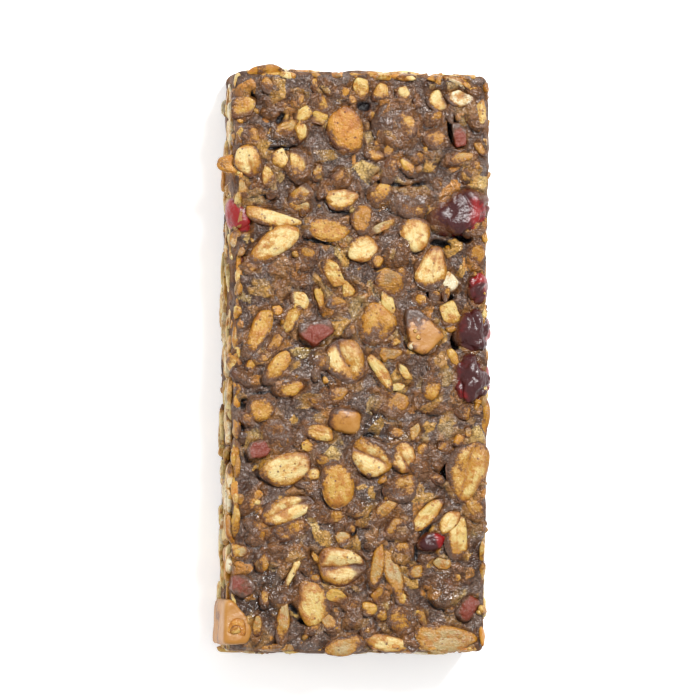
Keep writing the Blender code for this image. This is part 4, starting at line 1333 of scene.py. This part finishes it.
class SnackBarLook(bpy.types.PropertyGroup):
    """Colours and finishes of the bar."""

    binder: colour_prop("Binder", "The binder's main colour", (124, 99, 85))
    binder_dark: colour_prop("Dark Binder", "The binder's darker areas", (92, 67, 50))
    binder_warm: colour_prop("Warm Binder", "Brown patches in the binder", (126, 80, 48))
    # Painted glints: the pale colour on the tops of the binder's fine bumps
    binder_painted_glint: colour_prop("Pale Glints", "Pale grains in the binder", (176, 150, 124))
    # Painted shade in hollows, creases, pits and at the pieces' feet; the same colour also gives the
    # wet syrup spots their darker tone
    hollow: colour_prop("Hollows", "Deep hollows and wet spots", (58, 35, 20))
    film: colour_prop("Film", "Tint of the film over a buried piece", (236, 206, 158), linear)
    film_edge: colour_prop("Film Edge", "The film where it thins out against a piece", (146, 96, 48))
    binder_roughness: number_prop(
        "Binder Roughness", "Roughness of the dry binder", 0.30, max=1.0, subtype="FACTOR",
    )
    syrup: number_prop(
        "Syrup", "Share of wet shine over the binder", 0.7, max=1.0, subtype="FACTOR",
    )
    halo: colour_prop("Thin Film", "An oat or a nut under a thin film", (208, 147, 56))
    umber: colour_prop("Umber", "A piece under a thicker film", (126, 80, 42))
    crust: colour_prop("Crust", "Toasted rims and creases", (196, 128, 44))
    toast: colour_prop("Toast", "Tint of toasted patches and fibres", (246, 208, 124), linear)
    mark: colour_prop("Marks", "Small brown marks on the oats and nuts", (168, 98, 40))
    speck: colour_prop("Specks", "Small dark specks on the oats", (104, 52, 30))
    berry_dark: colour_prop("Berry", "The berries' dark skin", (88, 38, 38))
    berry_red: colour_prop("Red Berry", "Thin berry skin", (168, 26, 30))
    berry_bloom: colour_prop("Berry Bloom", "Pale dust on the berries", (122, 80, 76))
    caramel: colour_prop("Caramel", "The caramel's main colour", (200, 138, 66))
    caramel_pale: colour_prop("Pale Caramel", "The caramel's lighter areas", (212, 156, 88))
    fruit: colour_prop("Fruit Chip", "The fruit chips' main colour", (150, 72, 44))
    fruit_rust: colour_prop("Rust", "Rust patches on the fruit chips", (150, 70, 34))
    fruit_dust: colour_prop("Dust", "Dusty grains on the fruit chips", (172, 116, 88))


class SnackBarStage(bpy.types.PropertyGroup):
    """Floor, lights and camera."""

    floor: colour_prop("Floor", "The floor's colour", (250, 250, 250), linear)
    floor_glow: number_prop("Floor Glow", "Strength of the lit floor", 0.32)
    key_power: number_prop("Key Light", "Power of the large soft light", 7.5, unit="POWER")
    fill_power: number_prop("Fill Light", "Power of the light from the left", 3.0, unit="POWER")
    world: number_prop("Surroundings", "Strength of the white surroundings", 0.66)


def shared(context, maker, name):
    """A material made once, with the binder's node group made before it."""
    found = bpy.data.materials.get(name)
    if found:
        return found
    look = context.scene.snack_bar_look
    group = bpy.data.node_groups.get("Binder Surface") or binder_group(look)
    return maker(look, group)


def lay(pile, row, points, quads, stain, **more):
    """Adds a piece in its place on the top face, with its film and its foot in the binder."""
    world = points @ rotation(row.turn, row.lean, row.roll) + (row.x, row.y, row.base)
    coat = film_field(world[:, 0], world[:, 1], row)
    pile.add(world, quads, points, row.tone, coat, stain, foot=foot_mask(world), **more)


def sunk_rows():
    """Seeded chips, mostly covered, in the places that the listed pieces leave free."""
    rng = np.random.default_rng(SUNK_SEED)
    taken = [(row[0], row[1], (row[2] + row[3]) / 4) for row in OATS + CHIPS]
    fruits = BERRIES + CARAMELS + FRUIT_CHIPS
    taken += [(centre[0], centre[1], max(half[:2])) for _, centre, half, _ in fruits]
    rows = []
    while len(rows) < SUNK_COUNT:
        x = rng.uniform(SUNK_MARGIN - HALF_WIDTH, HALF_WIDTH - SUNK_MARGIN)
        y = rng.uniform(SUNK_MARGIN - HALF_LENGTH, HALF_LENGTH - SUNK_MARGIN)
        length = rng.uniform(*SUNK_LENGTH)
        width = length * rng.uniform(*SUNK_WIDTH_SHARE)
        room = min(math.hypot(x - other_x, y - other_y) - size for other_x, other_y, size in taken)
        length = min(length, 2.6 * room)
        if room < SUNK_LEAST_ROOM:
            continue
        taken.append((x, y, (length + width) / 4))
        tone = BURIED_TONES[rng.integers(len(BURIED_TONES))]
        rows.append((
            x, y, length, min(width, length), rng.uniform(0, 180), tone, rng.uniform(*SUNK_COAT),
        ))
    return tuple(rows)


def wall_frame(outward):
    """A wall's outward and along directions, its distance from the middle and its half length."""
    outward = np.array(outward, float)
    along = np.cross((0.0, 0.0, 1.0), outward)
    corner = (HALF_WIDTH, HALF_LENGTH, 0.0)
    return outward, along, abs(outward @ corner), abs(along @ corner)


def wall_rows():
    """Outward direction, place, size, turn and tone of each larger piece on the walls.

    Those of the walls at +x, +y and -y are seeded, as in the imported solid.
    """
    for y, z, *form in LEFT_WALL:
        yield np.array(WALLS[0], float), np.array((-HALF_WIDTH, y, z)), *form
    rng = np.random.default_rng(WALL_SEED)
    tones = list(TONES)
    for wall in WALLS[1:]:
        outward, along, distance, reach = wall_frame(wall)
        span = reach - WALL_END_MARGIN
        for i in range(round(2 * span / WALL_PITCH)):
            shift = WALL_PITCH * (i + 0.5) - span + rng.uniform(*WALL_SHIFT)
            centre = outward * distance + along * shift
            centre[2] = WALL_PIECE_LEVELS[i % 2] + rng.uniform(*WALL_LEVEL_SHIFT)
            length = rng.uniform(*WALL_PIECE_LENGTH)
            height = rng.uniform(*WALL_PIECE_HEIGHT)
            turn = rng.uniform(*WALL_PIECE_TURN)
            yield outward, centre, length, height, turn, tones[i % len(tones)]


def add_wall_bit(pile, rng, bits, wall, form):
    """Adds a seeded sliver or rim bit to a wall."""
    outward, along, distance, reach = wall_frame(wall)
    end = reach - bits.margin
    centre = outward * (distance - bits.inset) + along * rng.uniform(-end, end)
    centre[2] = rng.uniform(*bits.levels)
    if wall == WALLS[0]:
        centre += outward * bits.proud
    size = rng.uniform(*bits.length), rng.uniform(*bits.width)
    points, quads, stain = chip(*size, rng.uniform(*bits.rise), form, CRUMB_SPHERE)
    turn = rng.uniform(*bits.turn)
    roll = rng.uniform(*bits.roll) if bits.roll else 0.0
    world = points @ rotation(turn, 0.0, roll) @ wall_axes(outward) + centre
    tone = bits.tones[rng.integers(len(bits.tones))]
    coat = rng.uniform(*bits.coat) + 0.6 * noise(world, 1.6, COVER_NOISE)
    pile.add(world, quads, points, tone, coat, stain)


def crumb_place(rng):
    """A crumb's seeded wall, as its outward direction, and place on it; longer walls get more."""
    long_wall = rng.uniform(0.0, 2 * (BAR_WIDTH + BAR_LENGTH)) < 2 * BAR_LENGTH
    side = 1.0 if rng.uniform() < 0.5 else -1.0
    reach = CRUMB_REACH_ALONG if long_wall else CRUMB_REACH_ACROSS
    shift = rng.uniform(-reach, reach)
    level = rng.uniform(*CRUMB_LEVELS)
    if long_wall:
        return (side, 0.0, 0.0), (side * HALF_WIDTH, shift, level)
    return (0.0, side, 0.0), (shift, side * HALF_LENGTH, level)


def fruit_cover(name, points):
    """The film over a separate piece: as the binder's top has it, and in smears on a wall."""
    for row in top_pieces():
        if row.tone == name:
            return film_field(points[:, 0], points[:, 1], row)
    return 0.7 * noise(points, 2.2, WALL_FRUIT_NOISE)


def make_chunks(rows, power, lumps, material, slot, ending):
    """Makes caramels or fruit chips, straight-sided where one has an outline of its own."""
    for index, (name, centre, half_sizes, turn) in enumerate(rows):
        if name in OUTLINES:
            directions, reach, quads = block(half_sizes[2], OUTLINES[name])
            turn = 0
        else:
            directions, reach, quads = lump(half_sizes, power)
        start = directions * reach[:, None] + index * PIECE_STEP
        push = bumps(start, lumps)
        world = (directions * (reach + push)[:, None]) @ rotation(turn) + centre
        coat = fruit_cover(name, world)
        piece(name + ending, world, quads, {"coat": coat}, material, slot, name)


class SNACKBAR_OT_binder(bpy.types.Operator):
    """Makes the pressed binder"""

    bl_idname = "snack_bar.binder"
    bl_label = "Binder"

    def execute(self, context):
        points, quads, values = binder_surface()
        material = shared(context, binder_material, "Binder")
        piece("binder", points, quads, values, material, "body", "bar")
        return {"FINISHED"}


class SNACKBAR_OT_oats(bpy.types.Operator):
    """Makes the oat flakes of the top face and the rim"""

    bl_idname = "snack_bar.oats"
    bl_label = "Oat Flakes"

    def execute(self, context):
        pile = Pile()
        for row in top_pieces():
            if row.kind == "oat":
                form = flake(row.length, row.width, row.rise, row.crease, row.seed)
                lay(pile, row, *form, freckle=FRECKLES.get(row.tone, 0.0))
        for index, (x, y, z, length, width, turn, roll, tone) in enumerate(RIM_FLAKES):
            points, quads, stain = flake(
                length, width, RIM_FLAKE_RISE, RIM_FLAKE_CREASE, RIM_FLAKE_FORMS + index,
            )
            world = points @ rotation(turn, 0.0, roll) + (x, y, z)
            coat = 0.1 + 0.7 * noise(world, 2.0, COVER_NOISE)
            pile.add(world, quads, points, tone, coat, stain, foot=0.0, freckle=0.1)
        pile.make(context, "oat_flakes")
        return {"FINISHED"}


class SNACKBAR_OT_chips(bpy.types.Operator):
    """Makes the nut chips of the top face, the walls and the rim"""

    bl_idname = "snack_bar.chips"
    bl_label = "Nut Chips"

    def execute(self, context):
        spheres = {"chip": CHIP_SPHERE, "sunk": SUNK_SPHERE}
        piles = {kind: Pile() for kind in ("chip", "sunk", "wall")}
        for row in top_pieces():
            if row.kind in spheres:
                form = chip(row.length, row.width, row.rise, row.seed, spheres[row.kind])
                lay(piles[row.kind], row, *form)
        pile = piles["wall"]
        for index, (outward, centre, length, height, turn, tone) in enumerate(wall_rows()):
            size = length * CHIP_SCALE, height * CHIP_SCALE
            points, quads, stain = chip(*size, WALL_PIECE_RISE, WALL_FORMS + index, SUNK_SPHERE)
            world = points @ rotation(turn) @ wall_axes(outward) + centre
            coat = 0.2 + 0.7 * noise(world, 2.0, COVER_NOISE) - 0.3 * (world - centre) @ outward
            pile.add(world, quads, points, tone, coat, stain)
        rng = np.random.default_rng(SLIVER_SEED)
        for wall, count in zip(WALLS, SLIVERS_PER_WALL):
            for index in range(count):
                add_wall_bit(pile, rng, SLIVERS, wall, SLIVER_FORMS + index)
        rng = np.random.default_rng(RIM_SEED)
        for index in range(RIM_COUNT):
            wall = WALLS[rng.choice(len(WALLS), p=RIM_SHARES)]
            add_wall_bit(pile, rng, RIM_BITS, wall, RIM_FORMS + index)
        for kind, name in (("chip", "nut_chips"), ("sunk", "sunk_chips"), ("wall", "wall_nuts")):
            piles[kind].make(context, name)
        return {"FINISHED"}


class SNACKBAR_OT_crumbs(bpy.types.Operator):
    """Makes the small crumbs pressed into the top face and the walls"""

    bl_idname = "snack_bar.crumbs"
    bl_label = "Crumbs"

    def execute(self, context):
        pile = Pile()
        rng = np.random.default_rng(CRUMB_SEED)
        for index in range(TOP_CRUMBS + WALL_CRUMBS):
            size = rng.uniform(*CRUMB_SIZE) * rng.uniform(*CRUMB_SIZE_SHARE)
            points, quads, stain = chip(
                size * CRUMB_LENGTHENING, size, 0.25 + 0.2 * size, CRUMB_FORMS + index, CRUMB_SPHERE,
            )
            turn = rng.uniform(0, 360)
            points = points @ rotation(turn, rng.uniform(*CRUMB_TILT), rng.uniform(*CRUMB_TILT))
            if index < TOP_CRUMBS:
                x = rng.uniform(CRUMB_MARGIN - HALF_WIDTH, HALF_WIDTH - CRUMB_MARGIN)
                y = rng.uniform(CRUMB_MARGIN - HALF_LENGTH, HALF_LENGTH - CRUMB_MARGIN)
                world = points + (x, y, float(top_height(x, y)) - CRUMB_DEPTH)
                coat = rng.uniform(*CRUMB_TOP_COAT) + 0.4 * noise(world, 1.0, CRUMB_NOISE)
            else:
                outward, centre = crumb_place(rng)
                world = points @ wall_axes(outward) + centre
                coat = np.full(len(world), rng.uniform(*CRUMB_WALL_COAT))
            tone = CRUMB_TONES[rng.integers(len(CRUMB_TONES))]
            pile.add(world, quads, points, tone, coat, stain)
        pile.make(context, "crumbs")
        return {"FINISHED"}


class SNACKBAR_OT_berries(bpy.types.Operator):
    """Makes the dried berries"""

    bl_idname = "snack_bar.berries"
    bl_label = "Berries"

    def execute(self, context):
        material = shared(context, berry_material, "Dried Berry")
        for index, (name, centre, half_sizes, turn) in enumerate(BERRIES):
            directions, reach, quads = lump(half_sizes, BERRY_POWER)
            start = directions * reach[:, None] + index * PIECE_STEP
            warp = np.stack([noise(start, 2.6, seed) for seed in BERRY_WARP_NOISES], axis=1)
            start += BERRY_WARP * warp
            folds = 1.0 - BERRY_NARROWNESS * np.abs(noise(start, 2.4, BERRY_FOLD_NOISE))
            fine = 1.0 - BERRY_NARROWNESS * np.abs(noise(start, 1.1, BERRY_WRINKLE_NOISE))
            push = 0.5 * noise(start, 3.0, BERRY_SWELL_NOISE)
            push -= BERRY_FOLD_DEPTH * smooth_step(0.35, 1.0, folds)
            push += BERRY_LIFT - BERRY_WRINKLE_DEPTH * smooth_step(0.4, 1.0, fine)
            push *= min(half_sizes) / BERRY_FULL_SIZE
            points = directions * (reach + push)[:, None]
            world = points @ rotation(turn) + centre
            height = world[:, 2] - top_height(world[:, 0], world[:, 1])
            side, strength = RED_SIDES[name]
            facing = (math.cos(math.radians(side)), math.sin(math.radians(side)), 0.0)
            toward = (world - centre) @ facing / min(half_sizes[:2])
            stain = smooth_step(0.6, -1.2, height)
            stain += 0.35 * noise(world, 3.0, BERRY_STAIN_NOISE)
            stain += strength * smooth_step(0.1, 1.1, toward) + 0.4 * (strength - 0.7)
            values = {"stain": stain, "coat": fruit_cover(name, world)}
            piece(name + "_skin", world, quads, values, material, "berry", name)
        return {"FINISHED"}


class SNACKBAR_OT_caramels(bpy.types.Operator):
    """Makes the caramel chunks"""

    bl_idname = "snack_bar.caramels"
    bl_label = "Caramel"

    def execute(self, context):
        material = shared(context, caramel_material, "Caramel")
        make_chunks(CARAMELS, CARAMEL_POWER, CARAMEL_LUMPS, material, "caramel", "_block")
        return {"FINISHED"}


class SNACKBAR_OT_fruit(bpy.types.Operator):
    """Makes the fruit chips"""

    bl_idname = "snack_bar.fruit"
    bl_label = "Fruit Chips"

    def execute(self, context):
        material = shared(context, fruit_material, "Fruit Chip")
        make_chunks(FRUIT_CHIPS, FRUIT_POWER, FRUIT_LUMPS, material, "fruit", "_skin")
        return {"FINISHED"}


class SNACKBAR_OT_stage(bpy.types.Operator):
    """Makes the floor, the lights and the camera"""

    bl_idname = "snack_bar.stage"
    bl_label = "Stage"

    def execute(self, context):
        settings = context.scene.snack_bar_stage
        make_floor(settings)
        make_lights(context, settings)
        make_camera(context)
        return {"FINISHED"}


def make_floor(settings):
    """A lit white floor under the bar."""
    half = FLOOR_SIZE * METRES_PER_MM / 2
    mesh = bpy.data.meshes.new("floor")
    corners = ((-half, -half, 0.0), (half, -half, 0.0), (half, half, 0.0), (-half, half, 0.0))
    mesh.from_pydata(corners, [], [(0, 1, 2, 3)])
    material, graph, shader = new_material("Floor")
    graph.feed(shader, {
        "Base Color": settings.floor, "Roughness": 0.9, "Specular IOR Level": 0.1,
        "Emission Color": (1.0, 1.0, 1.0, 1.0), "Emission Strength": settings.floor_glow,
    })
    mesh.materials.append(material)
    floor = bpy.data.objects.new("floor", mesh)
    bpy.context.scene.collection.objects.link(floor)


def make_light(context, name, size, power, place):
    """A soft light at a place, in metres, that shines at the bar."""
    light = bpy.data.lights.new(name, "AREA")
    light.size = size
    light.energy = power
    made = bpy.data.objects.new(name, light)
    context.scene.collection.objects.link(made)
    made.location = place
    made.rotation_euler = (-Vector(place)).to_track_quat("-Z", "Y").to_euler()
    return made


def make_lights(context, settings):
    """White surroundings, a key light for the glints and a fill light that leaves none."""
    world = bpy.data.worlds.new("Surroundings")
    world.use_nodes = True
    background = world.node_tree.nodes["Background"]
    background.inputs["Color"].default_value = (1.0, 1.0, 1.0, 1.0)
    background.inputs["Strength"].default_value = settings.world
    context.scene.world = world
    make_light(context, "Key Light", KEY_SIZE, settings.key_power, KEY_PLACE)
    fill = make_light(context, "Fill Light", FILL_SIZE, settings.fill_power, FILL_PLACE)
    fill.visible_glossy = False
    context.scene.view_settings.view_transform = "Standard"


def make_camera(context):
    """The photograph's view: almost straight down, leaning a little to the left."""
    shift = np.array(BODY_SHIFT)
    target = (np.array(AIM) + shift) * METRES_PER_MM
    left = math.radians(CAMERA_LEAN_LEFT)
    down = math.radians(CAMERA_LEAN_DOWN)
    back = np.array([-math.sin(left), -math.sin(down), math.cos(left) * math.cos(down)])
    back /= np.linalg.norm(back)
    place = target + back * CAMERA_DISTANCE * METRES_PER_MM
    camera = bpy.data.cameras.new("Camera")
    camera.sensor_width = SENSOR_WIDTH
    camera.lens = SENSOR_WIDTH * CAMERA_DISTANCE / FRAME_WIDTH
    camera.clip_end = 10.0
    made = bpy.data.objects.new("Camera", camera)
    context.scene.collection.objects.link(made)
    made.location = place
    right = np.cross((0.0, 1.0, 0.0), back)
    right /= np.linalg.norm(right)
    axes = Matrix(np.stack([right, np.cross(back, right), back], axis=1).tolist())
    made.rotation_euler = (axes @ Matrix.Rotation(math.radians(CAMERA_ROLL), 3, "Z")).to_euler()
    context.scene.camera = made


class SNACKBAR_PT_panel(bpy.types.Panel):
    """Lists the builders and the settings"""

    bl_label = "Snack Bar"
    bl_idname = "SNACKBAR_PT_panel"
    bl_space_type = "VIEW_3D"
    bl_region_type = "UI"
    bl_category = "Snack Bar"

    def draw(self, context):
        for operator in OPERATORS:
            self.layout.operator(operator.bl_idname)
        for group in (context.scene.snack_bar_look, context.scene.snack_bar_stage):
            for name in group.__annotations__:
                self.layout.prop(group, name)


OPERATORS = (
    SNACKBAR_OT_binder,
    SNACKBAR_OT_oats,
    SNACKBAR_OT_chips,
    SNACKBAR_OT_crumbs,
    SNACKBAR_OT_berries,
    SNACKBAR_OT_caramels,
    SNACKBAR_OT_fruit,
    SNACKBAR_OT_stage,
)
CLASSES = (SnackBarLook, SnackBarStage, *OPERATORS, SNACKBAR_PT_panel)


def register():
    for cls in CLASSES:
        bpy.utils.register_class(cls)
    bpy.types.Scene.snack_bar_look = bpy.props.PointerProperty(type=SnackBarLook)
    bpy.types.Scene.snack_bar_stage = bpy.props.PointerProperty(type=SnackBarStage)


def unregister():
    del bpy.types.Scene.snack_bar_stage
    del bpy.types.Scene.snack_bar_look
    for cls in reversed(CLASSES):
        bpy.utils.unregister_class(cls)


def main():
    register()
    for operator in OPERATORS:
        module, name = operator.bl_idname.split(".")
        getattr(getattr(bpy.ops, module), name)()


if __name__ == "__main__":
    main()
